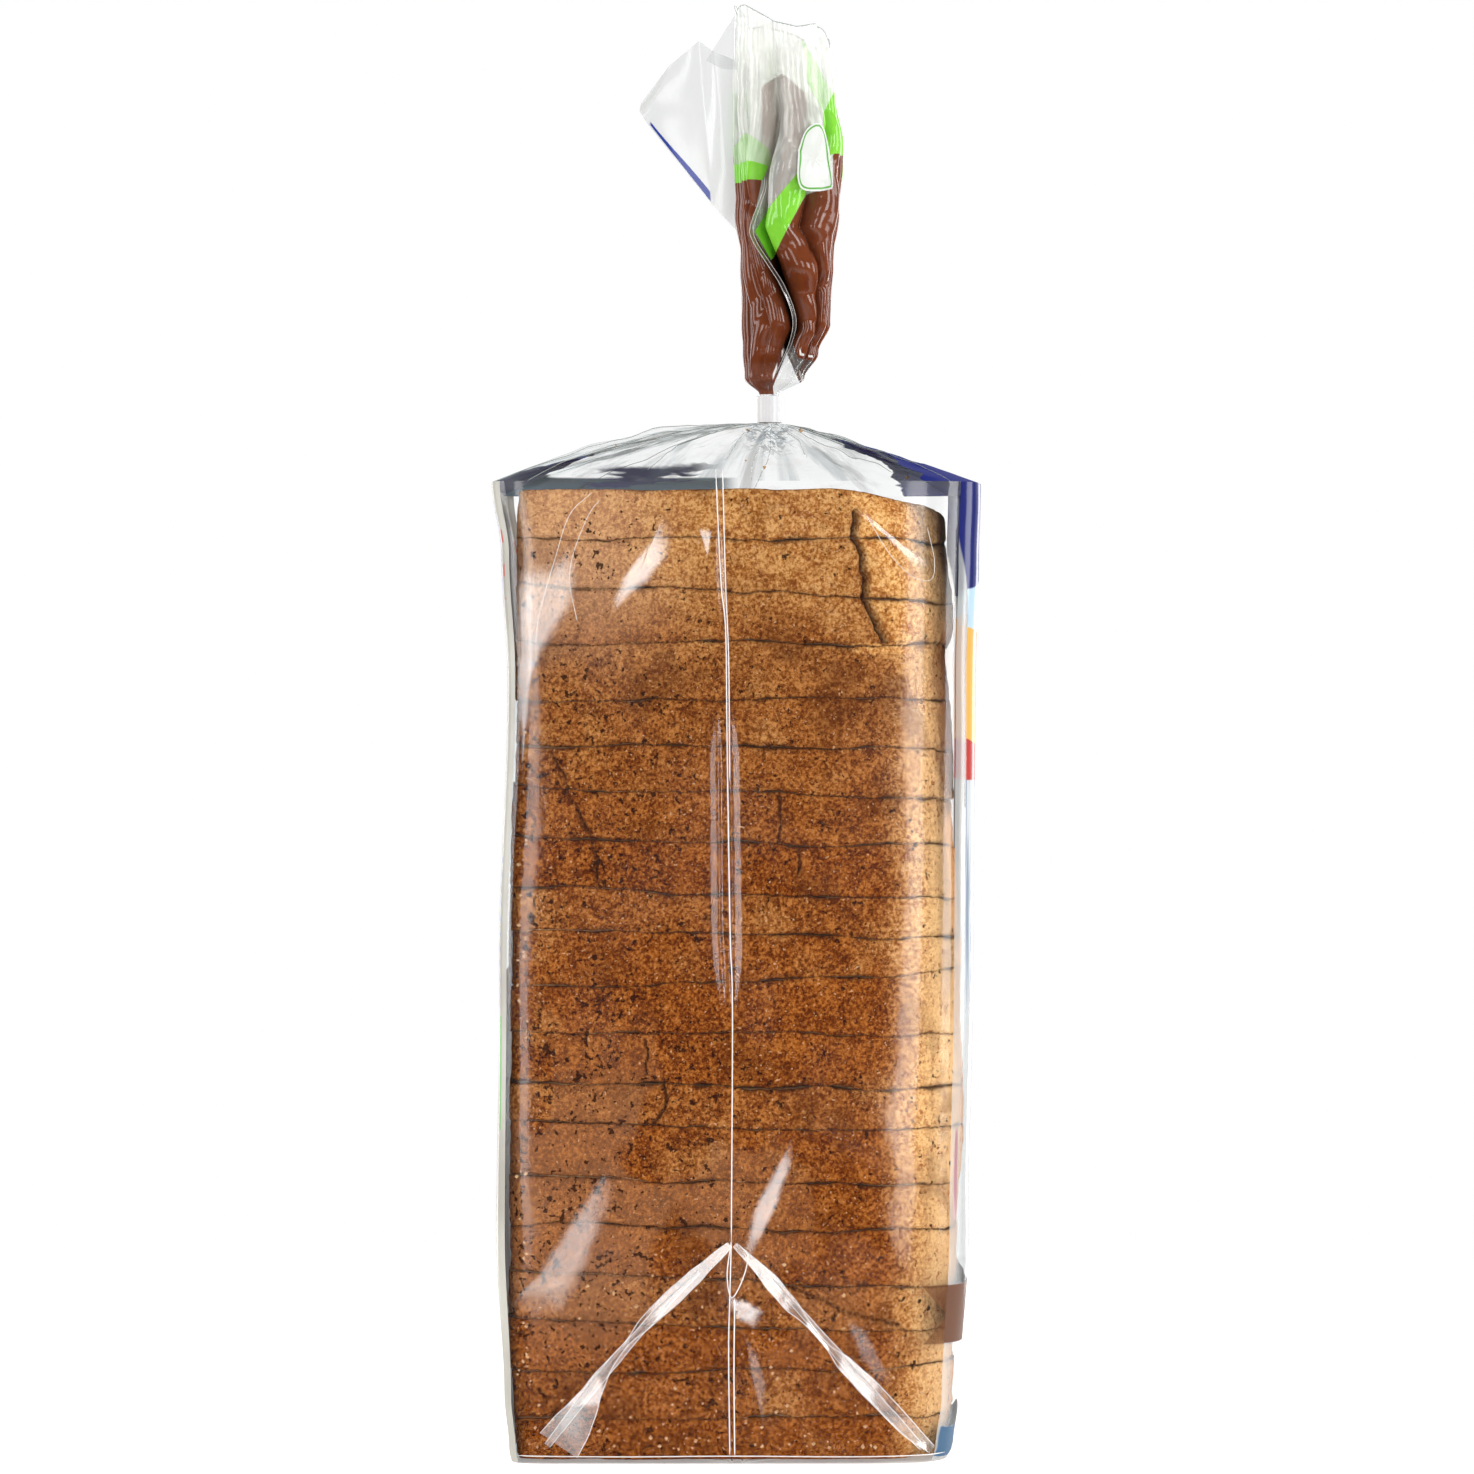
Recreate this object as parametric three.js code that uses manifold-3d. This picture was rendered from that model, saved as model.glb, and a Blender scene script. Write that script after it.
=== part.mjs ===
// A sliced wholemeal loaf in a clear bread bag, standing on its end slice. Millimetres, +Z up.
// The film and the bread that fills it are one solid. A band of tape holds the neck, and the film
// above the tape stands up as a pleated tail with one loose flap.
// The origin is at the middle of the base. The loaf's flat bottom crust faces -X and its domed
// top crust +X, and the bag's clear gussets are its -Y and +Y sides.

import * as THREE from "three";
import Module from "manifold-3d";
import { mergeVertices } from "three/addons/utils/BufferGeometryUtils.js";

const wasm = await Module();
wasm.setup();

// Driving dimensions
const BASE_FILM = 2; // folded film under the end slice
const LOAF_TOP_Z = 257; // top of the stack of slices
// Heights of the cuts between the 20 slices, which are not all of one thickness
const CUTS = [
  12, 24.7, 36.1, 48.4, 62.1, 74.3, 88.9, 100, 113.4, 127.3,
  139.5, 150.1, 164, 176.7, 189, 201.9, 216.1, 229.8, 243.9,
];
const SHOULDER_Z = 259; // where the bag turns in over the loaf
const NECK_Z = 276.6; // where the roof of the bag meets the neck
const NECK_TOP_Z = 284.6;
const NECK_X = 8.8; // the neck is off the middle, towards the top crust
const NECK_R = 2.7;
const MOUTH_Z = 383.6; // mean height of the tail's mouth
const MOUTH_TILT = 4.6; // how much higher it is towards -X, and lower towards +X
const MOUTH_FLOOR_Z = 372; // bottom of the hollow in the mouth
const GUSSET_APEX_Z = 59; // where the folds of the bag's base meet, half the gusset's width up
const CREASE_X = -1.5; // the gusset's centre fold at the base, and where it has strayed to at the top
const CREASE_TOP_X = -4.5;

// Smaller sizes that follow from how the bag is made
const CUT_DEPTH = 0.9; // how far the film dips into the cut between two slices
const CUT_SLOPE = 1.4; // height over which it dips
const PANEL_DIP = 0.35; // share of that dip on the stiffer side panels
const PANEL_COSINE = 0.74; // the side panels lie where the angle's cosine is larger than this
const SLICE_STRAY = 0.35; // how far a slice sits out of line along Y
const LEFT_POWER = 14; // how square the bag's section is towards -X, over the square bottom crust
const RIGHT_POWER = 7; // and towards +X, over the domed top crust
const LEFT_EASE = 2.3; // a larger number makes the roof rise sooner at the shoulder towards -X
const RIGHT_EASE = 1.25; // and at the shoulder towards +X, where it is nearly straight
const ROOF_SINK = 1.2; // how far the roof sags between its creases
const SAG_POWER = 1.5; // a larger number keeps sag and creases nearer to the middle of the slope
const ROOF_FOOT = 0.6; // how far outside the neck the creases meet
const TAIL_OPENING = 14; // height over which the tail's folds open above the neck
const FILM_SLAB = 0.9; // thickness of film that stands alone
const FOLD_SINK = 0.3; // how deep the middle of a folded edge lies in the gusset
const FOLD_CROSSING = 1.6; // how far two folds run past each other where they meet
const CENTRE_FOLD_R = 0.9;
const ARM_FOLD_R = 1.2;
const TAPE_R_IN = 3.05;
const TAPE_R_OUT = 3.5;
const TAPE_HEIGHT = 7.2;
const TAPE_FLUTES = 9;
const FLUTE_SHARE = 0.03; // depth of a flute as a share of the tape's radius

// How finely the solids are faceted
const COLUMNS = 56; // corners of every ring of the bag
const ROOF_RINGS = 6;
const TAIL_RINGS = 14;
const FLAP_CELLS = [8, 5];
const FOLD_SIDES = 6;
const TAPE_CORNERS = 54;
const WELD = 0.012; // corners closer than this, where pieces were joined, become one
const SAME_POINT = 1e-4; // corners closer than this in one piece are the same corner

const COLOURS = {
  bread: new THREE.Color().setRGB(0.52, 0.31, 0.15, THREE.SRGBColorSpace),
  tape: new THREE.Color().setRGB(0.95, 0.95, 0.94, THREE.SRGBColorSpace),
};

// Heights of the bag's section, with its reach towards -X, +X and +-Y there
const BODY_KEYS = {
  z: [0, 3, 18, 60, 130, 208, 240, SHOULDER_Z],
  left: [59.9, 60.6, 61.9, 63.6, 63.1, 60.7, 62.4, 65.0],
  right: [56.2, 57.4, 59.2, 60.8, 62.2, 63.5, 64.4, 65.0],
  deep: [53.5, 55.2, 56.2, 56.8, 57.0, 57.0, 57.4, 58.0],
};

// The tail's middle and its half widths, by height
const TAIL_KEYS = {
  z: [NECK_TOP_Z, 289, 296, 304, 320, 335, 352, 366, 390],
  middle: [8.8, 10.2, 12.0, 13.4, 13.8, 13.9, 14.2, 13.0, 11.9],
  wide: [2.7, 8.2, 10.6, 12.4, 12.9, 14.5, 15.5, 14.2, 12.6],
  deep: [2.7, 8.5, 13.0, 16.5, 21.0, 24.0, 26.0, 27.0, 27.5],
};

// Folds that run down the tail: angle in degrees, depth as a share of the radius, width in degrees
const TAIL_FOLDS = [
  [-98, 0.66, 9],
  [-52, 0.34, 8],
  [-14, 0.24, 10],
  [28, 0.42, 9],
  [66, 0.5, 8],
  [104, 0.56, 9],
  [144, 0.44, 9],
  [202, 0.36, 8],
  [234, 0.34, 8],
];

// Creases that fan out over the roof: angle in degrees, height, width in degrees
const ROOF_CREASES = [
  [-150, 2.2, 9],
  [-112, 3.0, 8],
  [-84, 2.4, 7],
  [-48, 1.6, 9],
  [-8, 0.6, 10],
  [40, 1.2, 9],
  [84, 2.6, 8],
  [128, 2.4, 9],
  [172, 0.8, 10],
];

const lerp = THREE.MathUtils.lerp;

function smooth(t) {
  return t * t * (3 - 2 * t);
}

// The value of a row of keys at a height, eased between neighbours
function at(keys, name, z) {
  const heights = keys.z;
  const last = heights.length - 1;
  const i = Math.min(last - 1, Math.max(0, heights.findIndex((h) => h > z) - 1));
  const k = z >= heights[last] ? last - 1 : i;
  const t = THREE.MathUtils.clamp((z - heights[k]) / (heights[k + 1] - heights[k]), 0, 1);
  return lerp(keys[name][k], keys[name][k + 1], smooth(t));
}

// Sum of bell-shaped folds round the axis, each one an [angle, size, width] in degrees
function foldsAt(folds, angle) {
  return folds.reduce((sum, [middle, size, width]) => {
    const away = Math.abs(THREE.MathUtils.euclideanModulo(angle - middle + 180, 360) - 180);
    return sum + size * Math.exp(-((away / width) ** 2));
  }, 0);
}

// Radius of a rounded rectangle along an angle. A larger power gives sharper corners.
function boxRadius(angle, left, right, deep) {
  const c = Math.cos(angle);
  const s = Math.sin(angle);
  const reach = c < 0 ? left : right;
  const power = c < 0 ? LEFT_POWER : RIGHT_POWER;
  return (Math.abs(c / reach) ** power + Math.abs(s / deep) ** power) ** (-1 / power);
}

function ring(pointAt) {
  return Array.from({ length: COLUMNS }, (_, k) => pointAt((k / COLUMNS) * 2 * Math.PI));
}

// A ring of the bag round the loaf. A dip is full on the clear gussets and slight on the side panels.
function bodyRing(z, dip = 0, shiftY = 0) {
  return ring((angle) => {
    const sizes = ["left", "right", "deep"].map((name) => at(BODY_KEYS, name, z));
    const share = Math.abs(Math.cos(angle)) > PANEL_COSINE ? PANEL_DIP : 1;
    const r = boxRadius(angle, ...sizes) - dip * share;
    return [r * Math.cos(angle), r * Math.sin(angle) + shiftY, z];
  });
}

// Three rings for each slice: the cut under it, and the top and bottom of its crust
function loafRings() {
  const feet = [BASE_FILM, ...CUTS];
  const tops = [...CUTS, LOAF_TOP_Z];
  return feet.flatMap((foot, i) => {
    const shiftY = SLICE_STRAY * Math.sin(1.7 * i + 2.1);
    const crust = [foot + CUT_SLOPE, tops[i] - CUT_SLOPE].map((z) => bodyRing(z, 0, shiftY));
    return i === 0 ? crust : [bodyRing(foot, CUT_DEPTH), ...crust];
  });
}

// The roof rises fast at the shoulder towards -X, and on a straighter slope from the other one
function roofRings() {
  const edge = bodyRing(SHOULDER_Z);
  const inner = NECK_R + ROOF_FOOT;
  return Array.from({ length: ROOF_RINGS }, (_, i) => {
    const t = (i + 1) / (ROOF_RINGS + 1);
    const swell = Math.sin(Math.PI * t) ** SAG_POWER;
    return edge.map(([x, y], k) => {
      const angle = (k / COLUMNS) * 2 * Math.PI;
      const px = lerp(x, NECK_X + inner * Math.cos(angle), t);
      const py = lerp(y, inner * Math.sin(angle), t);
      const ease = lerp(RIGHT_EASE, LEFT_EASE, (1 - Math.cos(angle)) / 2);
      const rise = (NECK_Z - SHOULDER_Z) * (1 - (1 - t) ** ease);
      const crease = foldsAt(ROOF_CREASES, THREE.MathUtils.radToDeg(angle));
      return [px, py, SHOULDER_Z + rise + (crease - ROOF_SINK) * swell];
    });
  });
}

function neckRings() {
  return [NECK_Z, NECK_TOP_Z].map((z) =>
    ring((angle) => [NECK_X + NECK_R * Math.cos(angle), NECK_R * Math.sin(angle), z]),
  );
}

// The tail's ragged mouth: highest towards -X, lower towards +X, with pointed corners
function mouthZ(angle) {
  const points = 1.6 * Math.abs(Math.sin(2.5 * angle + 0.4)) + 1.2 * Math.sin(5 * angle);
  return MOUTH_Z - MOUTH_TILT * Math.cos(angle) + points;
}

function tailPoint(angle, w) {
  const z = lerp(NECK_TOP_Z, mouthZ(angle), w);
  const wide = at(TAIL_KEYS, "wide", z);
  const deep = at(TAIL_KEYS, "deep", z);
  const r = 1 / Math.hypot(Math.cos(angle) / wide, Math.sin(angle) / deep);
  const opening = smooth(Math.min(1, (z - NECK_TOP_Z) / TAIL_OPENING));
  const folded = r * (1 - opening * foldsAt(TAIL_FOLDS, THREE.MathUtils.radToDeg(angle)));
  const middle = at(TAIL_KEYS, "middle", z);
  return [middle + folded * Math.cos(angle), folded * Math.sin(angle), z];
}

function tailRings() {
  return Array.from({ length: TAIL_RINGS }, (_, i) =>
    ring((angle) => tailPoint(angle, (i + 1) / TAIL_RINGS)),
  );
}

// A closed mesh from rings of equal length, shut by a fan at each end
function loft(rings, footCentre, topCentre) {
  const count = rings[0].length;
  const positions = [...rings.flat(), footCentre, topCentre].flat();
  const foot = rings.length * count;
  const top = foot + 1;
  const index = [];
  for (let i = 0; i < rings.length; i++) {
    for (let k = 0; k < count; k++) {
      const next = (k + 1) % count;
      const a = i * count + k;
      const b = i * count + next;
      if (i === 0) index.push(foot, b, a);
      if (i === rings.length - 1) index.push(top, a, b);
      else index.push(a, b, b + count, a, b + count, a + count);
    }
  }
  return geometryOf(positions, index);
}

function geometryOf(positions, index) {
  const geometry = new THREE.BufferGeometry();
  geometry.setAttribute("position", new THREE.Float32BufferAttribute(positions, 3));
  geometry.setIndex(index);
  return geometry;
}

function solidOf(geometry) {
  const bare = geometry.clone();
  bare.deleteAttribute("normal");
  bare.deleteAttribute("uv");
  const merged = mergeVertices(bare, SAME_POINT);
  const vertProperties = new Float32Array(merged.attributes.position.array);
  const triVerts = new Uint32Array(merged.index.array);
  return new wasm.Manifold(new wasm.Mesh({ numProp: 3, vertProperties, triVerts }));
}

function geometryFrom(solid) {
  const mesh = solid.getMesh();
  return geometryOf(Array.from(mesh.vertProperties), Array.from(mesh.triVerts));
}

// A thin slab of film. pointAt(s, t) gives its middle surface, and it is thick along Y.
function slab(pointAt, across, along) {
  const sheets = [-FILM_SLAB / 2, FILM_SLAB / 2].map((offset) => {
    const rows = [];
    for (let i = 0; i <= across; i++)
      for (let j = 0; j <= along; j++) {
        const [x, y, z] = pointAt(i / across, j / along);
        rows.push([x, y + offset, z]);
      }
    return rows;
  });
  const size = sheets[0].length;
  const id = (i, j, back) => i * (along + 1) + j + (back ? size : 0);
  const index = [];
  const quad = (a, b, c, d) => index.push(a, c, b, a, d, c);
  for (let i = 0; i < across; i++)
    for (let j = 0; j < along; j++) {
      quad(id(i, j), id(i + 1, j), id(i + 1, j + 1), id(i, j + 1));
      quad(id(i, j, 1), id(i, j + 1, 1), id(i + 1, j + 1, 1), id(i + 1, j, 1));
    }
  for (let i = 0; i < across; i++) {
    quad(id(i, 0), id(i, 0, 1), id(i + 1, 0, 1), id(i + 1, 0));
    quad(id(i, along), id(i + 1, along), id(i + 1, along, 1), id(i, along, 1));
  }
  for (let j = 0; j < along; j++) {
    quad(id(0, j), id(0, j + 1), id(0, j + 1, 1), id(0, j, 1));
    quad(id(across, j), id(across, j, 1), id(across, j + 1, 1), id(across, j + 1));
  }
  return geometryOf(sheets.flat(2), index);
}

// The loose flap of film that fans out from the tail towards -X: lower edge, then upper edge
const FLAP_LOWER = [[8, 321], [-0.1, 329.4], [-6.9, 336.6], [-24.3, 358.6], [-26.6, 362.4]];
const FLAP_UPPER = [[8, 372], [-6.9, 378.3], [-10.4, 381.3], [-18.5, 374.6], [-26.2, 364.4]];

function flapPoint(s, t) {
  const place = s * (FLAP_LOWER.length - 1);
  const k = Math.min(FLAP_LOWER.length - 2, Math.floor(place));
  const between = (edge, axis) => lerp(edge[k][axis], edge[k + 1][axis], place - k);
  const x = lerp(between(FLAP_LOWER, 0), between(FLAP_UPPER, 0), t);
  const z = lerp(between(FLAP_LOWER, 1), between(FLAP_UPPER, 1), t);
  return [x, 1.2 + 6 * smooth(s) + 0.8 * Math.sin(9 * s + 3 * t), z];
}

// The outer face of a gusset at a place across the bag and a height, on the -Y or +Y side
function gussetPoint(x, z, sign) {
  const reach = at(BODY_KEYS, x < 0 ? "left" : "right", z);
  const power = x < 0 ? LEFT_POWER : RIGHT_POWER;
  const deep = at(BODY_KEYS, "deep", z) * (1 - Math.abs(x / reach) ** power) ** (1 / power);
  return new THREE.Vector3(x, sign * (deep - FOLD_SINK), z);
}

// A closed outline of corners round the middle, at the radius that radiusAt(angle) gives
function outline(corners, radiusAt) {
  return Array.from({ length: corners }, (_, k) => {
    const angle = (k / corners) * 2 * Math.PI;
    const r = radiusAt(angle);
    return new THREE.Vector2(r * Math.cos(angle), r * Math.sin(angle));
  });
}

// A folded edge of film that stands proud of a gusset, as a tube through places on it
function foldedEdge(places, radius, sign) {
  const points = places.map(([x, z]) => gussetPoint(x, z, sign));
  const section = new THREE.Shape(outline(FOLD_SIDES, () => radius));
  const extrudePath = new THREE.CatmullRomCurve3(points, false, "centripetal");
  return new THREE.ExtrudeGeometry(section, { steps: 3 * (points.length - 1), extrudePath });
}

// Each gusset has its centre fold, and two folds that cross it at the apex and run to the base's corners
function gussetFolds(sign) {
  const top = [CREASE_TOP_X, SHOULDER_Z - 3];
  const centre = [[CREASE_X, 5], [CREASE_X, GUSSET_APEX_Z], [-2, 120], [-3, 190], top];
  const apexFrom = (side) => [CREASE_X + side * FOLD_CROSSING, GUSSET_APEX_Z + FOLD_CROSSING];
  return [
    foldedEdge(centre, CENTRE_FOLD_R, sign),
    foldedEdge([apexFrom(1), [-20, 40], [-37, 22], [-52, 6]], ARM_FOLD_R, sign),
    foldedEdge([apexFrom(-1), [17, 41], [34, 23], [49, 7]], ARM_FOLD_R, sign),
  ];
}

function bagGeometry() {
  const rings = [
    bodyRing(0),
    bodyRing(BASE_FILM),
    ...loafRings(),
    bodyRing(SHOULDER_Z),
    ...roofRings(),
    ...neckRings(),
    ...tailRings(),
  ];
  const mouthCentre = [TAIL_KEYS.middle.at(-1), 0, MOUTH_FLOOR_Z];
  const whole = loft(rings, [0, 0, 0], mouthCentre);
  const extras = [slab(flapPoint, ...FLAP_CELLS), ...gussetFolds(-1), ...gussetFolds(1)];
  const joined = extras.reduce((solid, piece) => solid.add(solidOf(piece)), solidOf(whole));
  return geometryFrom(joined.simplify(WELD));
}

// The band of tape, drawn tight over the gathered film so that it has shallow flutes
function tapeGeometry() {
  const fluted = (angle) => TAPE_R_OUT * (1 + FLUTE_SHARE * Math.cos(TAPE_FLUTES * angle));
  const shape = new THREE.Shape(outline(TAPE_CORNERS, fluted));
  shape.holes.push(new THREE.Path(outline(TAPE_CORNERS, () => TAPE_R_IN).reverse()));
  return new THREE.ExtrudeGeometry(shape, { depth: TAPE_HEIGHT, steps: 1, bevelEnabled: false });
}

function node(name, geometry, colour, roughness) {
  geometry.computeVertexNormals();
  const material = new THREE.MeshStandardMaterial({ color: colour, roughness, metalness: 0 });
  const mesh = new THREE.Mesh(geometry, material);
  mesh.name = name;
  return mesh;
}

const loafBag = new THREE.Group();
loafBag.add(node("bag_of_bread", bagGeometry(), COLOURS.bread, 0.35));

const tape = node("neck_tape", tapeGeometry(), COLOURS.tape, 0.45);
tape.position.set(NECK_X, 0, (NECK_Z + NECK_TOP_Z - TAPE_HEIGHT) / 2);
loafBag.add(tape);

export default loafBag;
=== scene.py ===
# A sliced wholemeal loaf in a clear gusseted bread bag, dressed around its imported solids.
# Shapes are worked out in millimetres and written to meshes in metres. The camera looks along +Y.
# The loaf's flat bottom crust faces -X and its domed top crust +X. The bag's clear gussets face
# -Y and +Y, and its printed panels -X and +X.
import math

import bmesh
import bpy
import numpy as np
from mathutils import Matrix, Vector, noise


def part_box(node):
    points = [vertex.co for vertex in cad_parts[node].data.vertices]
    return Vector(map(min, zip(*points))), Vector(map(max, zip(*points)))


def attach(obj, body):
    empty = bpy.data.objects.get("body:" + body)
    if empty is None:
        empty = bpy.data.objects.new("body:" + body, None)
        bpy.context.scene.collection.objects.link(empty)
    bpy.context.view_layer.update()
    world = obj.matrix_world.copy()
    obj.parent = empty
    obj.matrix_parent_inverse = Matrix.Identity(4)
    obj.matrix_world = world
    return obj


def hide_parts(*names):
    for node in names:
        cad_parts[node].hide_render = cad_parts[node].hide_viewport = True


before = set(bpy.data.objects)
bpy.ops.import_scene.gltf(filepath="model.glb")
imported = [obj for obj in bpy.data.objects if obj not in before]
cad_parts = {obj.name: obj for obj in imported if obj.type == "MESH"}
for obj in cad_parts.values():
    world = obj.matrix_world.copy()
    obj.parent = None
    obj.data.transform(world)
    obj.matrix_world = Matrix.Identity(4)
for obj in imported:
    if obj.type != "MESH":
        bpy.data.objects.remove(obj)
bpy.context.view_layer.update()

MM = 0.001
TAU = 2 * math.pi

# Sizes from the frame, in millimetres
TAPE_LOW, TAPE_HIGH = (np.array(corner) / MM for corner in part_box("neck_tape"))
NECK_X = (TAPE_LOW[0] + TAPE_HIGH[0]) / 2
NECK_Z = TAPE_LOW[2] - 0.4
NECK_TOP_Z = TAPE_HIGH[2] + 0.4
NECK_R = 2.7

# The bag round the loaf
SHOULDER_Z = 259.0
LEFT_POWER = 18
RIGHT_POWER = 7
BODY_KEYS = {
    "z": [0, 3, 18, 60, 130, 208, 240, SHOULDER_Z],
    "left": [59.9, 60.6, 61.9, 63.6, 63.1, 60.7, 62.4, 65.0],
    "right": [56.4, 57.8, 59.7, 61.9, 63.3, 63.8, 64.6, 65.2],
    "deep": [53.5, 55.2, 56.2, 56.8, 57.0, 57.0, 57.4, 58.0],
}

# The loaf: how far its crust reaches from the middle, by height
LOAF_FOOT_Z = 1.0
LOAF_TOP_Z = 257.0
LOAF_KEYS = {
    "z": [2, 12, 40, 96, 135, 186, 201, 214, 222, 249, 256],
    "left": [58.8, 59.2, 60.4, 60.8, 60.0, 58.9, 58.7, 58.8, 58.9, 58.6, 58.2],
    "right": [55.2, 57.2, 58.6, 60.4, 59.6, 58.0, 57.0, 55.8, 57.6, 55.4, 52.5],
    "deep": [52.2, 53.6, 54.4, 54.8, 55.0, 55.0, 55.0, 55.0, 55.0, 54.6, 53.6],
}
LOAF_LEFT_POWER = 20
LOAF_RIGHT_POWER = 4.6

# Each cut's height at the bottom crust (-X) and at the top crust (+X), from the base up, and how
# far those two places are from the middle
CUT_HALF = 57
CUTS = [
    (11.7, 12.2), (24.4, 25.0), (37.6, 34.7), (51.3, 45.5), (63.2, 61.1), (75.9, 72.7),
    (90.1, 87.7), (101.0, 98.9), (113.9, 112.9), (124.8, 129.8), (140.6, 138.5), (152.5, 147.7),
    (165.4, 162.5), (178.7, 174.7), (189.8, 188.2), (202.2, 201.6), (216.4, 215.9), (232.6, 227.0),
    (244.4, 243.4),
]

# Cracks in the crust of the -Y side: places (x, z), depth and half width
CRACKS = [
    ([(31, 251), (31.5, 244), (33, 238), (34, 228), (36.5, 222), (38.5, 217)], 3.0, 0.9),
    ([(-49.5, 187), (-46, 181), (-40, 168), (-37, 159), (-36.6, 152)], 1.4, 0.5),
    ([(11, 176), (12, 170), (11.2, 164)], 0.7, 0.45),
    ([(-24.5, 112), (-24, 103)], 0.7, 0.4),
    ([(-20, 101), (-19, 95), (-22.5, 90)], 1.2, 0.5),
    ([(11, 48), (22, 43.5), (29, 40), (43, 36.4)], 1.2, 0.5),
    ([(16.5, 162), (16.8, 155)], 0.6, 0.4),
]
# Cracks stay where Y is below this
CRACKS_Y = -35

# Further than anything, in millimetres
FAR = 1e9


def smooth(t):
    t = np.clip(t, 0, 1)
    return t * t * (3 - 2 * t)


def eased(keys, name, z):
    """The value of a row of keys at each height, eased between neighbours."""
    heights = np.array(keys["z"], float)
    values = np.array(keys[name], float)
    k = np.clip(np.searchsorted(heights, z, side="right") - 1, 0, len(heights) - 2)
    t = smooth((z - heights[k]) / (heights[k + 1] - heights[k]))
    return values[k] * (1 - t) + values[k + 1] * t


def xyz(x, y, z):
    """Points from their coordinates, any of which may be one number for all."""
    return np.stack(np.broadcast_arrays(x, y, z), axis=-1)


def rough(points, size, seed=0.0):
    """Smooth noise from -1 to 1 at each point, with bumps of about size millimetres."""
    flat = points.reshape(-1, 3) / size + seed
    values = [noise.noise(Vector(p)) for p in flat]
    return np.array(values).reshape(points.shape[:-1])


def box_radius(angle, left, right, deep, left_power, right_power):
    """Radius of a rounded rectangle along an angle. A larger power gives sharper corners."""
    c = np.cos(angle)
    s = np.sin(angle)
    reach = np.where(c < 0, left, right)
    power = np.where(c < 0, left_power, right_power)
    return (np.abs(c / reach) ** power + np.abs(s / deep) ** power) ** (-1 / power)


def curve_through(places, count):
    """Points spaced evenly along a smooth curve through places of any dimension."""
    p = np.array(places, float)
    ends = np.vstack([2 * p[0] - p[1], p, 2 * p[-1] - p[-2]])
    fine = []
    for a, b, c, d in zip(ends, ends[1:], ends[2:], ends[3:]):
        for t in np.linspace(0, 1, 16, endpoint=False):
            fine.append(
                0.5 * (2 * b + (c - a) * t + (2 * a - 5 * b + 4 * c - d) * t**2)
                + 0.5 * (3 * b - a - 3 * c + d) * t**3
            )
    fine = np.array([*fine, p[-1]])
    run = length_along(fine[:, :2])
    even = np.linspace(0, run[-1], count)
    return np.stack([np.interp(even, run, fine[:, k]) for k in range(p.shape[1])], axis=1)


def length_along(path):
    """Length of a path from its start to each of its points."""
    return np.concatenate([[0], np.cumsum(np.linalg.norm(np.diff(path, axis=0), axis=1))])


def straight_through(places, count):
    """Points along straight lines between places, with as many on each line."""
    p = np.array(places, float)
    even = np.linspace(0, len(p) - 1, count)
    return np.stack([np.interp(even, np.arange(len(p)), p[:, k]) for k in range(p.shape[1])], axis=1)


def srgb(red, green, blue):
    """A colour from 0 to 255 as Blender's linear colour."""
    def linear(v):
        v = v / 255
        return v / 12.92 if v <= 0.04045 else ((v + 0.055) / 1.055) ** 2.4

    return (linear(red), linear(green), linear(blue), 1.0)


# Meshes

class Batch:
    """Points and faces collected from several surfaces, for one object."""

    def __init__(self):
        self.points = []
        self.faces = []
        self.materials = []
        self.layers = {}

    def add(self, points, faces, material=0, **layers):
        start = len(self.points)
        self.points.extend(np.asarray(points, float).reshape(-1, 3).tolist())
        self.faces.extend(tuple(start + i for i in face) for face in faces)
        self.materials.extend([material] * len(faces))
        for name, values in layers.items():
            self.layers.setdefault(name, []).extend(np.asarray(values, float).ravel().tolist())
        return start

    def grid(self, rows, closed=False, flip=False, material=0, **layers):
        """A surface through rows of points, all rows alike in length."""
        rows = np.asarray(rows, float)
        down, across = rows.shape[:2]
        faces = []
        for i in range(down - 1):
            for k in range(across if closed else across - 1):
                n = (k + 1) % across
                face = (i * across + k, i * across + n, (i + 1) * across + n, (i + 1) * across + k)
                faces.append(face[::-1] if flip else face)
        return self.add(rows, faces, material, **layers)

    def fan(self, last, count, hub, flip=False, material=0):
        """Triangles from a closed grid's last row to a hub."""
        for k in range(count):
            face = (last + k, last + (k + 1) % count, hub)
            self.faces.append(face[::-1] if flip else face)
            self.materials.append(material)

    def piece(self, name, slot, *materials, smooth_faces=True):
        """The collected surfaces as an object that rides on the body and stands for the bag."""
        mesh = bpy.data.meshes.new(name)
        mesh.from_pydata((np.array(self.points) * MM).tolist(), [], self.faces)
        for material in materials:
            mesh.materials.append(material)
        mesh.polygons.foreach_set("material_index", self.materials)
        mesh.polygons.foreach_set("use_smooth", [smooth_faces] * len(self.faces))
        for layer, values in self.layers.items():
            attribute = mesh.attributes.new(layer, "FLOAT", "POINT")
            attribute.data.foreach_set("value", values)
        mesh.update()
        made = bpy.data.objects.new(name, mesh)
        bpy.context.scene.collection.objects.link(made)
        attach(made, "root")
        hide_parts("bag_of_bread")
        return made


def sheet(name, slot, material, rows, **how):
    """One surface through rows of points, as an object of its own."""
    batch = Batch()
    batch.grid(rows, **how)
    batch.piece(name, slot, material)


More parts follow.
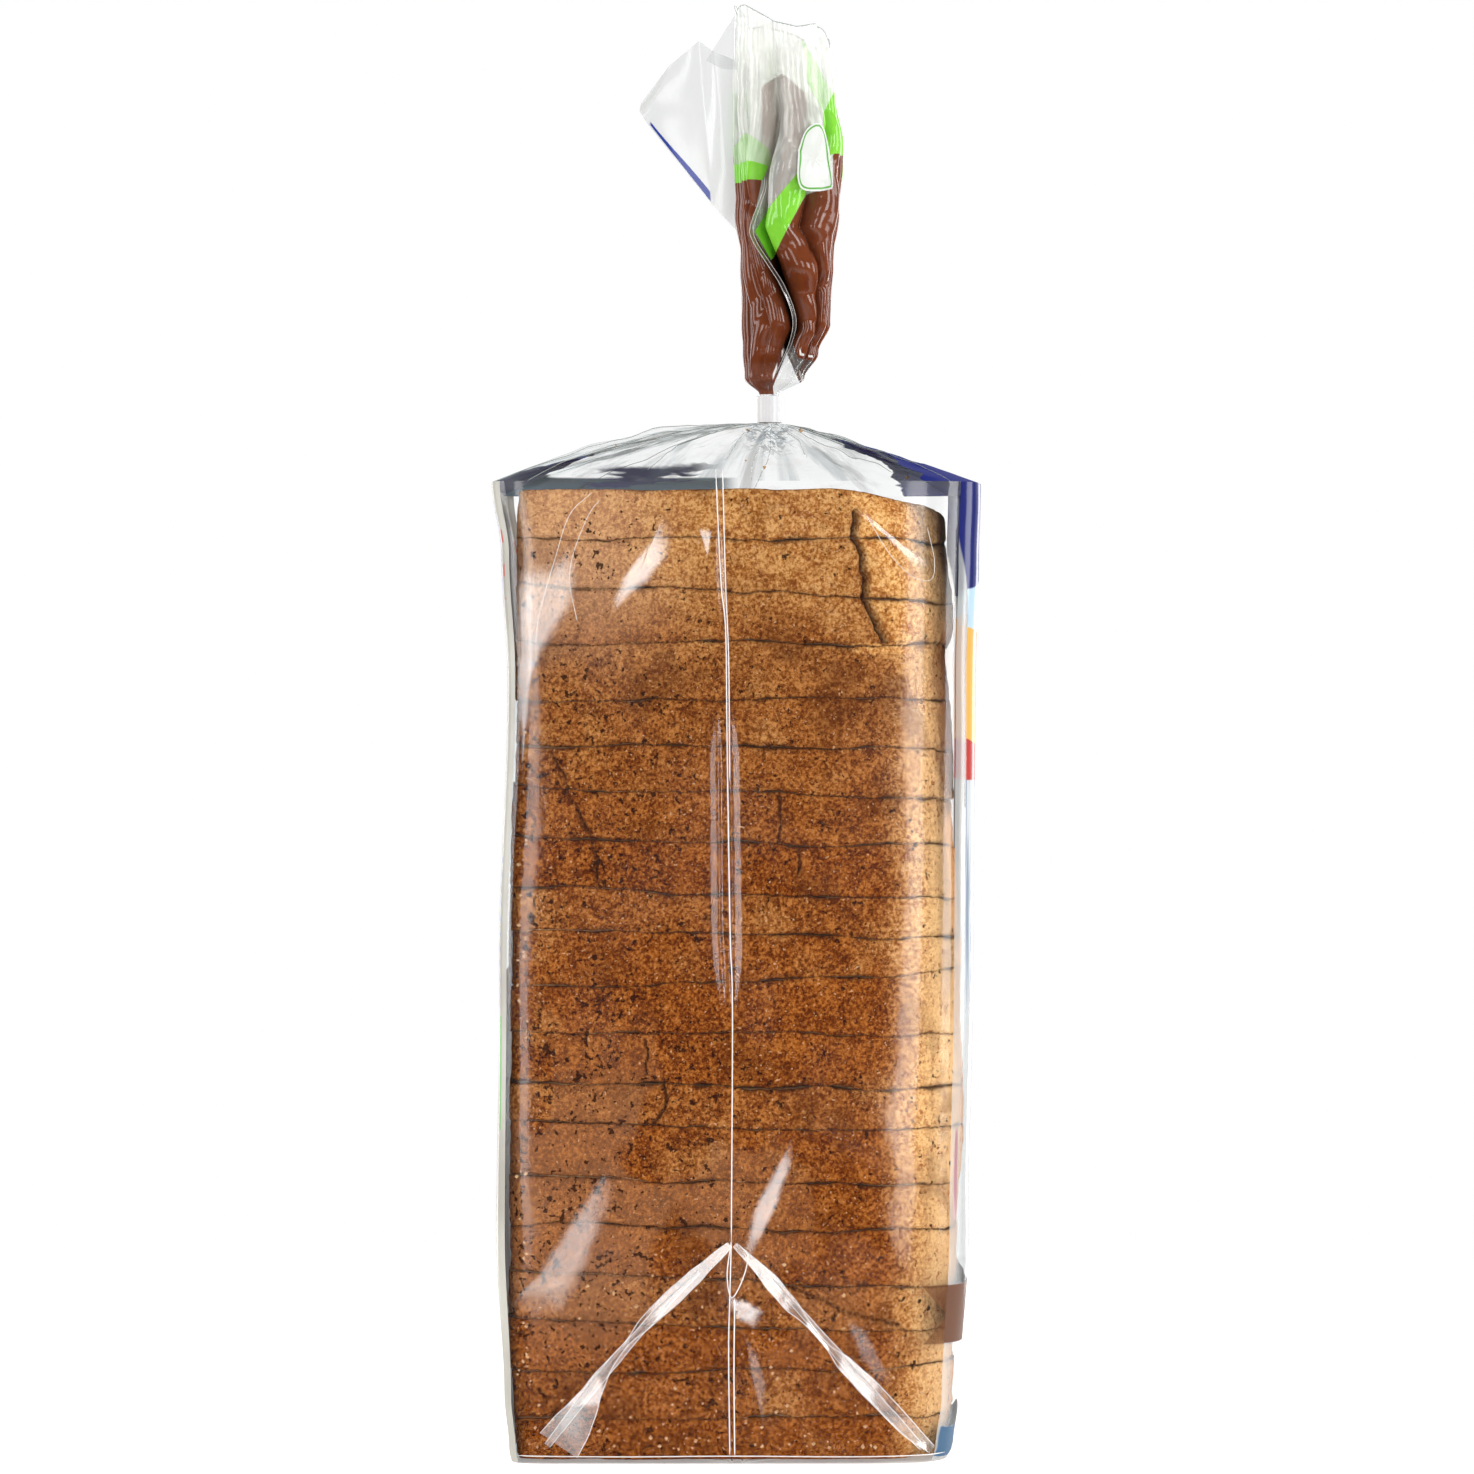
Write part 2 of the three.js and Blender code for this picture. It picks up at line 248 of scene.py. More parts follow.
def tube(batch, path, radius, sides=6):
    """A thin closed tube along a path of points."""
    along = np.gradient(path, axis=0)
    along /= np.linalg.norm(along, axis=1)[:, None]
    side = np.cross(along, (0.0, 1.0, 0.0))
    side /= np.linalg.norm(side, axis=1)[:, None] + 1e-9
    other = np.cross(side, along)
    turns = np.arange(sides) * TAU / sides
    radii = np.full(len(path), radius, float)
    radii[[0, -1]] *= 0.3
    ring = np.cos(turns)[None, :, None] * side[:, None] + np.sin(turns)[None, :, None] * other[:, None]
    batch.grid(path[:, None] + ring * radii[:, None, None], closed=True, flip=True)


# Materials

TAIL_MILK = (0.86, 0.87, 0.81, 1)
FLAP_MILK = (0.62, 0.63, 0.63, 1)
FILM_MILK = srgb(226, 228, 228)
NAVY = srgb(32, 40, 118)
PORE_SHADE = srgb(40, 14, 3)

# The brown printed ribbon near the base, from low to high
RIBBON_BAND = (31.5, 47.0)


class Value:
    """A number in a material's node tree. Sums, products and abs of values add nodes to it."""

    def __init__(self, nodes, socket):
        self.nodes = nodes
        self.socket = socket

    def __add__(self, other):
        return self.nodes.math("ADD", self, other)

    def __sub__(self, other):
        return self.nodes.math("SUBTRACT", self, other)

    def __rsub__(self, other):
        return self.nodes.math("SUBTRACT", other, self)

    def __mul__(self, other):
        return self.nodes.math("MULTIPLY", self, other)

    def __abs__(self):
        return self.nodes.math("ABSOLUTE", self)

    def between(self, low, high, top=1.0, bottom=0.0):
        """The value's way from low to high, as a smooth number from bottom to top."""
        inputs = {"Value": self, "From Min": low, "From Max": high, "To Min": bottom, "To Max": top}
        made = self.nodes.new("ShaderNodeMapRange", inputs, interpolation_type="SMOOTHSTEP")
        return Value(self.nodes, made.outputs[0])

    def band(self, low, high, soft=0.25):
        """1 between low and high and 0 outside, with soft edges."""
        return self.between(low - soft, low + soft) * (self - high).between(soft, -soft)


class Nodes:
    """A material's node tree, with short calls for the nodes that it needs."""

    def __init__(self, name):
        self.material = bpy.data.materials.new(name)
        self.material.use_nodes = True
        self.tree = self.material.node_tree
        self.tree.nodes.clear()
        inputs = {0: self.new("ShaderNodeTexCoord").outputs["Object"], "Scale": 1 / MM}
        self.place = self.new("ShaderNodeVectorMath", inputs, operation="SCALE").outputs[0]
        split = self.new("ShaderNodeSeparateXYZ", {0: self.place})
        self.x, self.y, self.z = (Value(self, socket) for socket in split.outputs)

    def new(self, kind, inputs=None, **properties):
        """A node with these properties, and with these values or links at its inputs."""
        made = self.tree.nodes.new(kind)
        for key, value in properties.items():
            setattr(made, key, value)
        for key, value in (inputs or {}).items():
            self.put(made.inputs[key], value)
        return made

    def put(self, socket, value):
        if isinstance(value, Value):
            value = value.socket
        if isinstance(value, bpy.types.NodeSocket):
            self.tree.links.new(value, socket)
        else:
            socket.default_value = value

    def math(self, operation, *values, clamp=False):
        made = self.new("ShaderNodeMath", dict(enumerate(values)), operation=operation, use_clamp=clamp)
        return Value(self, made.outputs[0])

    def either(self, *masks):
        total = masks[0]
        for mask in masks[1:]:
            total = self.math("MAXIMUM", total, mask)
        return total

    def waves(self, value, per_mm, kind="SINE"):
        return self.math(kind, value * per_mm)

    def noise(self, size, detail=3.0, roughness=0.55, place=None, stretch=None):
        where = place or self.place
        if stretch:
            where = self.new("ShaderNodeMapping", {"Scale": stretch, "Vector": where}).outputs[0]
        inputs = {"Scale": 1 / size, "Detail": detail, "Roughness": roughness, "Vector": where}
        return Value(self, self.new("ShaderNodeTexNoise", inputs).outputs["Fac"])

    def cells(self, size):
        made = self.new("ShaderNodeTexVoronoi", {"Scale": 1 / size, "Vector": self.place})
        return Value(self, made.outputs["Distance"])

    def layer(self, name):
        return Value(self, self.new("ShaderNodeAttribute", attribute_name=name).outputs["Fac"])

    def mix(self, share, under, over):
        inputs = {"Factor": share, 6: under, 7: over}
        return self.new("ShaderNodeMix", inputs, data_type="RGBA").outputs[2]

    def painted(self, colour, *coats):
        """A colour under coats, each a mask and its own colour."""
        for mask, over in coats:
            colour = self.mix(mask, colour, over)
        return colour

    def ramp(self, value, *stops):
        made = self.new("ShaderNodeValToRGB", {0: value})
        elements = made.color_ramp.elements
        for element, (position, colour) in zip(elements, (stops[0], stops[-1])):
            element.position = position
            element.color = colour
        for position, colour in stops[1:-1]:
            elements.new(position).color = colour
        return made.outputs[0]

    def bump(self, height, strength, distance):
        inputs = {"Strength": strength, "Distance": distance * MM, "Height": height}
        return self.new("ShaderNodeBump", inputs).outputs[0]

    def principled(self, colour, roughness, normal=None, specular=0.5):
        inputs = {"Base Color": colour, "Roughness": roughness, "Specular IOR Level": specular}
        if normal:
            inputs["Normal"] = normal
        return self.new("ShaderNodeBsdfPrincipled", inputs).outputs[0]

    def clear(self, colour=(1, 1, 1, 1)):
        return self.new("ShaderNodeBsdfTransparent", {"Color": colour}).outputs[0]

    def mixed(self, share, under, over):
        return self.new("ShaderNodeMixShader", {0: share, 1: under, 2: over}).outputs[0]

    def finish(self, shader):
        self.new("ShaderNodeOutputMaterial", {"Surface": shader})
        return self.material


def crust_material():
    """Speckled wholemeal crust: brown on the tin's sides, golden towards the top crust (+X). Painted
    light lightens the upper slices and the +X edge, a painted reflection the upper -X slices, and
    painted shade darkens the pores, the cracks and the edges at the cuts.
    """
    n = Nodes("wholemeal_crust")
    fine = n.noise(0.95, 4.0, 0.72)
    coarse = n.noise(4.0, 4.0, 0.6)
    grain = fine * 0.74 + coarse * 0.26
    brown = n.ramp(grain, (0.405, srgb(76, 30, 4)), (0.462, srgb(106, 50, 10)),
                   (0.520, srgb(138, 73, 20)), (0.600, srgb(172, 106, 46)))
    golden = n.ramp(grain, (0.400, srgb(160, 94, 40)), (0.470, srgb(204, 138, 68)),
                    (0.570, srgb(242, 194, 128)))
    patches = n.noise(20, 4.0, 0.55)
    # Golden towards the top crust (+X) and in random patches, which is the crust's own colour, and
    # lighter over the upper slices (z 205 to 252) as painted light.
    golden_and_lit = n.x.between(36, 54) + n.z.between(205, 252, top=0.66)
    golden_and_lit = n.math("ADD", golden_and_lit, patches.between(0.54, 0.72, top=0.22), clamp=True)
    golden_and_lit = n.math("ADD", golden_and_lit, n.layer("golden"), clamp=True)
    domed = n.x.between(48, 54) * abs(n.y).between(46, 30, top=0.75)
    dark = patches.between(0.47, 0.34, top=0.4) + n.z.between(110, 50, top=0.15)
    bran = n.noise(1.5, 3.0, 0.6).between(0.59, 0.64, top=0.7)
    flecks = n.noise(0.9, 2.0, 0.5).between(0.67, 0.71, top=0.7)
    dry = n.noise(30, 2.0, 0.45, stretch=(1, 1, 0.7)).between(0.47, 0.53, top=0.3)
    dry = dry * n.z.between(130, 80) * n.x.between(40, -20, bottom=0.2)
    dry = dry * n.z.between(15, 45, bottom=0.1)
    # Painted reflection: a pale pinkish crust on the upper -X slices, where the film shows a veil.
    pale = n.x.between(-5, -40) * n.z.between(200, 235, top=0.34)
    fewer = n.x.between(-45, 45, top=0.05) + n.z.between(190, 240, top=0.03)
    shade = n.noise(12, 2.0).between(0.44, 0.54, top=0.04)
    large = n.noise(2.4, 3.0, 0.6) - shade + fewer
    small = n.noise(1.2, 2.0, 0.5) - shade + fewer
    # Pores and pits, painted near-black: painted shade inside them, over the bump that sinks them.
    pores = n.either(large.between(0.365, 0.335), small.between(0.335, 0.305))
    colour = n.painted(
        n.mix(golden_and_lit, brown, golden),
        # Cream crust near the +X edge: partly the paler top crust, partly painted light from the +X
        # side.
        (n.x.between(44, 57, top=0.75), srgb(244, 206, 154)),
        (domed, n.mix(grain, srgb(112, 54, 16), srgb(206, 142, 82))),
        (dark, srgb(84, 40, 10)),
        (bran, n.mix(golden_and_lit, srgb(76, 26, 6), srgb(156, 82, 36))),
        (flecks, srgb(206, 164, 122)),
        (dry, srgb(172, 124, 88)),
        (pale, srgb(212, 170, 140)),
        (pores * 0.9, PORE_SHADE),
        # Painted shade in the cracks and along the cut edges between slices.
        (n.layer("crack"), srgb(54, 24, 8)),
    )
    return n.finish(n.principled(colour, 0.8, n.bump(fine + coarse - pores, 1.0, 0.5), specular=0.0))


def crumb_material():
    n = Nodes("wholemeal_crumb")
    # Holes of the crumb, painted darker as painted shade inside them, and sunk by the bump.
    holes = n.cells(3.2).between(0.32, 0.12)
    colour = n.painted(
        n.ramp(n.noise(3.0, 5.0, 0.65), (0.3, srgb(150, 104, 62)), (0.5, srgb(186, 142, 96)),
               (0.7, srgb(212, 174, 130))),
        (holes * 0.6, srgb(116, 74, 40)),
        (n.noise(1.0, 2.0).between(0.6, 0.7, top=0.6), srgb(110, 66, 34)),
        # Painted shade round the rim of the cut face, where it meets the next slice.
        (n.layer("crack"), srgb(48, 22, 8)),
    )
    height = n.noise(1.4, 4.0, 0.6) - holes
    return n.finish(n.principled(colour, 0.88, n.bump(height, 0.9, 0.7), specular=0.2))


def film_shader(n, haze, cover=None, cover_colour=None, bumpy=0.3, gloss=0.04, glancing=0.6,
                milk=FILM_MILK):
    """Clear film that mirrors more at a glancing angle, hazy by haze, printed where cover is 1."""
    normal = n.bump(n.noise(9, 2.0, 0.5), bumpy, 0.35)
    facing = n.new("ShaderNodeLayerWeight", {"Blend": 0.5, "Normal": normal}).outputs["Facing"]
    glance = n.math("POWER", facing, 4.0)
    mirror = n.math("ADD", glance * glancing, gloss, clamp=True)
    clear = n.clear(n.mix(glance, (0.985, 0.988, 0.988, 1), (0.86, 0.89, 0.89, 1)))
    film = n.mixed(haze, clear, n.principled(milk, 0.5, normal, specular=0.0))
    if cover is not None:
        film = n.mixed(cover, film, n.principled(cover_colour, 0.5, normal, specular=0.0))
    shine = n.new("ShaderNodeBsdfGlossy", {"Roughness": 0.14, "Normal": normal}).outputs[0]
    return n.mixed(mirror, film, shine)


def clear_material(name, haze, gloss=0.045):
    n = Nodes(name)
    patches = n.noise(16, 3.0, 0.5, stretch=(1, 1, 0.5)).between(0.5, 0.68)
    return n.finish(film_shader(n, patches * haze + haze * 0.25, gloss=gloss))


def gusset_material():
    """Clear film, with the end of a brown printed ribbon at one lower edge of the -Y side."""
    n = Nodes("gusset_film")
    haze = n.noise(24, 2.0, 0.4, stretch=(1, 1, 0.6)).between(0.5, 0.66, top=0.008)
    gloss = n.z.between(35, 90, top=0.04, bottom=0.01)
    notch = abs(n.z - 39.0) * 0.85
    ribbon = n.z.band(*RIBBON_BAND) * (n.x - 55.5 + notch).between(-0.2, 0.2)
    ribbon = ribbon * n.y.between(-30, -31) * 0.72
    haze = haze * n.z.between(70, 110)
    return n.finish(film_shader(n, haze, ribbon, srgb(98, 60, 34), gloss=gloss))


def front_print_material():
    """The +X panel: header, sky, hill and band of colour above a clear window, and a base band."""
    n = Nodes("front_panel_print")
    across = abs(n.y)
    header = (n.z - n.waves(n.y, 0.055, "COSINE") * 4.0).between(234.0, 234.6)
    hill = (n.waves(n.y, 0.05) * 3.0 + 223.0 - n.z).between(0.0, 0.5)
    red = (n.waves(n.y, 0.09, "COSINE") * 2.5 + 192.5 - n.z).between(0.0, 0.4)
    streaks = n.noise(1.6, 2.0, 0.5, stretch=(1, 1, 0.05)).between(0.42, 0.6)
    lines = n.z.band(62, 90, soft=6) * across.band(49, 50.5, soft=0.5) * 0.6
    ribbon = n.z.band(*RIBBON_BAND)
    wave = n.waves(n.y, 0.11) * 2.0
    foot = (n.z + wave).band(3.0, 11.0) * across.between(50.0, 49.0)
    colour = n.painted(
        srgb(170, 194, 210),
        (hill, srgb(214, 160, 76)),
        (red, srgb(170, 58, 54)),
        (n.z.between(180.4, 180.0), n.mix(streaks, srgb(132, 142, 156), srgb(190, 194, 196))),
        (lines, srgb(176, 104, 104)),
        (ribbon, srgb(88, 52, 30)),
        (header, srgb(28, 34, 96)),
        (foot, srgb(50, 84, 112)),
    )
    window = n.z.band(54, 172) * across.between(41.0, 40.5)
    lower = n.z.band(-5, 122, soft=9)
    for printed in (ribbon, lines, foot):
        lower = lower * printed.between(0.5, 0.4)
    reach = n.z.between(222, 256, top=6.0) + 47.5
    margin = (across - reach).between(0.0, 0.6) * n.z.between(100, 101)
    cover = 1.0 - n.either(window, lower, margin) * 0.95
    haze = across.between(44, 50, top=0.4, bottom=0.03)
    return n.finish(film_shader(n, haze, cover, colour, glancing=0.2, milk=srgb(200, 203, 202)))


def back_print_material():
    """The -X panel: pale, framed by a blue line, with rows of slanted bars and a green line."""
    n = Nodes("back_panel_print")
    across = abs(n.y)
    pale = n.mix(n.noise(30, 2.0).between(0.35, 0.65), srgb(166, 162, 153), srgb(182, 179, 170))
    dabs = n.z.band(228, 250) * across.band(52.2, 53.2) * n.waves(n.z, 0.7).between(0.3, 0.5)
    bars = n.math("SINE", n.z * 1.6 + across * 1.2).between(0.2, 0.4)
    bars = bars * n.z.band(120, 160) * across.band(46, 51.5)
    rows = n.waves(n.z, 1.05).between(0.75, 0.85) * n.z.band(62, 110) * across.between(34, 33.5)
    colour = n.painted(
        pale,
        (n.z.band(226, 254) * across.band(48.5, 50.0), srgb(112, 108, 176)),
        (dabs, srgb(196, 92, 84)),
        (bars * 0.8, srgb(120, 134, 168)),
        (rows * 0.5, srgb(120, 126, 160)),
        (n.z.band(88, 118) * across.band(51.6, 52.6), srgb(112, 178, 104)),
    )
    window = n.z.band(128, 214) * across.between(38, 37.5)
    return n.finish(film_shader(n, 0.03, 0.93 - window * 0.86, colour, gloss=0.02, glancing=0.12))


def around_neck(n):
    """Places whose X runs round the neck and whose Y runs slowly away from it."""
    aside = n.x - NECK_X
    turn = n.math("ARCTAN2", n.y, aside) * 5.0
    return n.new("ShaderNodeCombineXYZ", {0: turn, 1: abs(aside) * 0.035}).outputs[0]


def roof_material():
    """Clear film that carries the panels' navy print up over the two shoulders, and down the back."""
    n = Nodes("roof_film")
    depth = abs(n.y)
    wander = (n.noise(12, 3.0) - 0.5) * 12.0
    right = n.x - 25.0 + wander - depth * 0.42
    left = -38.0 - n.x - depth * 0.58
    behind = (n.z + wander * 0.3 + n.x * -0.04).band(263.5, 268.0, soft=0.8)
    behind = behind * n.x.band(-40, -8, soft=6) * n.y.between(8, 12)
    torn = n.noise(5, 2.0, 0.5, stretch=(0.3, 1, 1)).between(0.40, 0.52)
    navy = n.either(right.between(0, 0.7), left.between(0, 0.7), behind * torn)
    rear = n.z.between(264.2, 263.6) * n.y.between(20, 24) * n.x.between(2, -6)
    gathered = abs(n.x - NECK_X).between(9, 3) * n.z.between(NECK_Z - 9, NECK_Z - 4)
    gathered = gathered * n.noise(2.2, 2.0).between(0.5, 0.56, top=0.5)
    streaks = n.noise(1, 4.0, 0.6, place=around_neck(n)).between(0.5, 0.66, top=0.4)
    colour = n.painted(
        n.mix(navy.between(0.0, 0.4), srgb(76, 108, 130), NAVY),
        (gathered, srgb(70, 82, 88)),
        (n.either(navy, rear, gathered).between(0.3, 0.1), srgb(112, 124, 126)),
    )
    cover = n.either(n.either(navy, rear) * 0.94, gathered, streaks)
    wisps = n.noise(9, 4.0, 0.6, stretch=(1, 1, 2.5)).between(0.5, 0.72, top=0.1)
    haze = wisps * abs(n.x).between(42, 24, bottom=0.1)
    return n.finish(film_shader(n, haze, cover, colour, bumpy=0.4, gloss=0.015, glancing=0.08))


def tail_material():
    """Film printed with plain brown and green fields, clear at the neck and milky towards the mouth.
    Each field's layer is the distance inside it in millimetres."""
    n = Nodes("tail_film")
    mottle = n.noise(4, 3.0)
    fields = {name: n.layer(name).between(-0.12, 0.12) for name in TAIL_FIELDS}
    green = n.mix(mottle, srgb(104, 186, 30), srgb(138, 214, 66))
    dashes = n.layer("brown").band(0.7, 1.3, soft=0.1) * n.z.between(297.0, 296.0)
    colour = n.painted(
        n.mix(mottle, srgb(84, 32, 9), srgb(124, 62, 30)),
        # Painted shade: near-black in the valley of the -Y side's main fold.
        (n.layer("valley"), srgb(16, 6, 3)),
        (fields["green"], green),
        (fields["faded_green"], green),
        (dashes * n.waves(n.x, 2.6).between(-0.2, 0.1), srgb(232, 228, 222)),
    )
    cover = n.either(n.either(fields["brown"], fields["green"]) * 0.97, fields["faded_green"] * 0.35)
    streaks = n.noise(5.0, 3.0, 0.5, stretch=(1, 1, 0.25)).between(0.4, 0.66, top=0.3)
    haze = streaks * n.z.between(322, 344) + n.z.between(316, 340, top=0.34, bottom=0.05)
    return n.finish(film_shader(n, haze, cover, colour, bumpy=0.25, gloss=0.035, glancing=0.2,
                                milk=TAIL_MILK))


def label_material():
    """A bare label with a green rim. The layer is the distance inside it in millimetres."""
    n = Nodes("tail_label")
    rim = n.layer("inside").band(0.5, 1.0, soft=0.1)
    colour = n.mix(rim, srgb(214, 216, 211), srgb(84, 160, 52))
    return n.finish(n.principled(colour, 0.35, n.bump(n.noise(5, 2.0), 0.3, 0.3)))


def flap_material():
    """Milky film with a blue line along its lower edge that widens towards the tail."""
    n = Nodes("flap_film")
    thick = n.layer("along").between(0.745, 0.5, top=2.3, bottom=0.9)
    line = n.layer("along").band(0.5, 0.745, soft=0.006) * n.layer("inset").band(0.35, thick, soft=0.1)
    haze = n.noise(10, 3.0, stretch=(1, 1, 0.4)).between(0.3, 0.7, top=0.6, bottom=0.5)
    return n.finish(film_shader(n, haze, line, srgb(44, 62, 148), bumpy=0.2, gloss=0.03, milk=FLAP_MILK))


def edge_material(name, colour, share):
    """The folded edge of a film, as a half-opaque line of one colour. A pale line is partly the fold's
    own whitening and partly a painted highlight; a grey line is painted shade along a crease.
    """
    n = Nodes(name)
    return n.finish(n.mixed(share, n.clear(), n.principled(colour, 0.2)))


def facet_material():
    """A flat fold of film that mirrors the lights, and fades out towards its own rim."""
    n = Nodes("facet_film")
    soft = (n.layer("inside") + (n.noise(6, 3.0) - 0.5) * 0.5).between(0.0, 0.6)
    return n.finish(film_shader(n, 0.004, bumpy=0.25, gloss=soft * n.layer("shine"), glancing=0.1))


def tape_material():
    n = Nodes("white_tape")
    # Faint upright stripes: painted shade of the tape's small folds.
    lines = n.waves(n.x, 3.4).between(0.5, 1.0)
    colour = n.mix(lines * 0.35, srgb(222, 223, 225), srgb(196, 198, 202))
    return n.finish(n.principled(colour, 0.42, n.bump(n.noise(1.5, 3.0), 0.2, 0.2)))


def crumbs_material():
    n = Nodes("loose_crumbs")
    colour = n.mix(n.noise(2.0, 2.0), srgb(150, 98, 54), srgb(226, 188, 138))
    return n.finish(n.principled(colour, 0.85, n.bump(n.noise(0.6, 2.0), 0.5, 0.2)))


# The bread

FRONT_COLUMNS = 300
OTHER_COLUMNS = 300
SLICE_ROWS = 18
CUT_GAP = 0.06
TORN_GAP = 0.17
# How far from the middle a slice's rim takes the heights of its cuts
CUT_REACH = 56
DEEP_CUT = 8
EDGE_ROUND = 0.45
EDGE_HEIGHT = 0.35
FACE_RINGS = (0.98, 0.85, 0.45)
# Where the top slices have a piece broken off, on the -Y side towards +X
BROKEN_X = 36
BROKEN_Z = 217


def loaf_radius(angle, z):
    sizes = [eased(LOAF_KEYS, name, z) for name in ("left", "right", "deep")]
    return box_radius(angle, *sizes, LOAF_LEFT_POWER, LOAF_RIGHT_POWER)


def outline_angles():
    """Angles round the loaf, evenly spaced along its outline but closer on the -Y side."""
    fine = np.linspace(0, TAU, 4001)
    r = loaf_radius(fine, 120.0)
    run = length_along(np.stack([r * np.cos(fine), r * np.sin(fine)], axis=1))
    front_start, front_end = np.interp(np.radians([220, 322]), fine, run)
    front = np.linspace(front_start, front_end, FRONT_COLUMNS, endpoint=False)
    other = np.linspace(front_end, front_start + run[-1], OTHER_COLUMNS, endpoint=False)
    return np.interp(np.concatenate([front, other]) % run[-1], run, fine)


def crack_depth(points):
    """How deep the cracks of the -Y side are at each point, and a mask of where they are."""
    depth = np.zeros(points.shape[:-1])
    mask = np.zeros(points.shape[:-1])
    front = points[..., 1] < CRACKS_Y
    for places, deep, half in CRACKS:
        path = curve_through(places, 40)
        flat = xyz(*path.T, 0)
        path[:, 0] += 0.9 * rough(flat, 4.5) + 0.6 * rough(flat, 1.7)
        near = np.full(points.shape[:-1], FAR)
        for x, z in path:
            near = np.minimum(near, np.hypot(points[..., 0] - x, points[..., 2] - z))
        bell = np.exp(-((near / half) ** 2)) * front
        depth = np.maximum(depth, deep * bell)
        mask = np.maximum(mask, bell)
    return depth, mask


def crust_relief(points):
    """How far the crust stands out from its plain outline: swells, crags and pits."""
    swell = 0.55 * rough(points, 24, 3.1)
    crags = 0.42 * rough(points, 4.2, 9.7)
    grain = 0.26 * rough(points, 1.9, 5.3)
    pits = np.clip(rough(points, 2.6, 21.0) - 0.32, 0, None) * -2.4
    pores = np.clip(rough(points, 1.3, 33.0) - 0.3, 0, None) * -1.6
    return swell + crags + grain + pits + pores


def cut_height(index, x, y):
    """Height of a cut. Cut 0 is the foot of the loaf and the last one its top."""
    where = xyz(x, y, index * 17.0)
    if index == 0:
        return LOAF_FOOT_Z + 0.3 * rough(where, 14)
    if index == len(CUTS) + 1:
        return LOAF_TOP_Z - 5.5 * smooth((x - 22) / 30) + 0.5 * rough(where, 12)
    left, right = CUTS[index - 1]
    share = np.clip((x + CUT_HALF) / (2 * CUT_HALF), 0, 1)
    waves = 1.5 * rough(where, 22) + 0.6 * rough(where, 7) + 0.35 * rough(where, 2.2)
    return left + (right - left) * share + waves


def cut_gap(index, x, y):
    """Half the gap of a cut, wider where the crumb has torn, and most of all in the deep cut."""
    torn = TORN_GAP * (1.6 if index == DEEP_CUT else 1.0)
    return CUT_GAP / 2 + torn * np.clip(2.2 * rough(xyz(x, y, index * 11.0 + 5), 7) + 0.02, 0, 1)


def slice_piece(index, angles, crust, crumb):
    """One slice, from its lower cut to its upper one, with a crust all round."""
    random = np.random.default_rng(100 + index)
    shift = np.array([random.uniform(-0.5, 0.5), random.uniform(-0.35, 0.35)])
    grow = 1 + random.uniform(-0.004, 0.004)
    middle = np.stack([np.cos(angles), np.sin(angles)]) * CUT_REACH
    gap_low = cut_gap(index, *middle)
    gap_high = cut_gap(index + 1, *middle)
    low = cut_height(index, *middle) + gap_low
    high = cut_height(index + 1, *middle) - gap_high
    share = (1 - np.cos(np.linspace(0, np.pi, SLICE_ROWS))) / 2
    share = 0.55 * share + 0.45 * np.linspace(0, 1, SLICE_ROWS)
    z = low + (high - low) * share[:, None]
    r = loaf_radius(angles, z) * grow
    plain = xyz(r * np.cos(angles), r * np.sin(angles), z)
    cracks, crack_mask = crack_depth(plain)
    rounding = np.maximum((0.15 + gap_low / TORN_GAP) * np.exp((low - z) / EDGE_HEIGHT),
                          (0.15 + gap_high / TORN_GAP) * np.exp((z - high) / EDGE_HEIGHT))
    r = r + crust_relief(plain) - cracks - EDGE_ROUND * rounding
    points = xyz(r * np.cos(angles) + shift[0], r * np.sin(angles) + shift[1], z)

    x, y, _ = np.moveaxis(plain, -1, 0)
    broken = (x > BROKEN_X - (z - BROKEN_Z) * 0.16) & (y < 0) & (z > BROKEN_Z)
    lip = (x > 30) & (np.abs(z - BROKEN_Z + 2) < 1.3)
    golden = np.where(broken | lip, 0.45, 0.0) + random.uniform(-0.12, 0.14)
    batch = Batch()
    # Painted shade: darker crust in the cracks and where the edges round off into the cuts.
    dark = np.maximum(crack_mask, np.clip(rounding * 0.85, 0, 0.75))
    batch.grid(points, closed=True, crack=dark, golden=golden)
    for rim, face_index, up in ((points[0], index, False), (points[-1], index + 1, True)):
        end_crust = index == 0 and not up or index == len(CUTS) and up
        offset = -CUT_GAP / 2 if up else CUT_GAP / 2
        rings = [rim]
        for scale in FACE_RINGS:
            flat = rim[:, :2].T * scale
            rings.append(xyz(*flat, cut_height(face_index, *flat) + offset))
        # Painted shade on the rim of each cut face, where it meets the next slice.
        edge_shade = np.zeros((len(rings), len(angles)))
        edge_shade[:2] = [[0.75], [0.6]]
        look = {"flip": not up, "material": 0 if end_crust else 1}
        start = batch.grid(rings, closed=True, crack=edge_shade, golden=0 * edge_shade, **look)
        hub = batch.add([0, 0, cut_height(face_index, 0.0, 0.0) + offset], [], crack=0, golden=0)
        batch.fan(start + len(FACE_RINGS) * len(angles), len(angles), hub, **look)
    weld(batch.piece(f"slice_{index + 1:02d}", "bread_crust", crust, crumb))


def weld(piece):
    """Joins corners that lie on the same spot, so that a body made of several surfaces closes."""
    work = bmesh.new()
    work.from_mesh(piece.data)
    bmesh.ops.remove_doubles(work, verts=work.verts, dist=1e-7)
    work.to_mesh(piece.data)
    work.free()


# The film round the loaf

def film_place(angle, z):
    """The bag's plain section at an angle and height, as (x, y)."""
    sizes = [eased(BODY_KEYS, name, z) for name in ("left", "right", "deep")]
    r = box_radius(angle, *sizes, LEFT_POWER, RIGHT_POWER)
    return r * np.cos(angle), r * np.sin(angle)


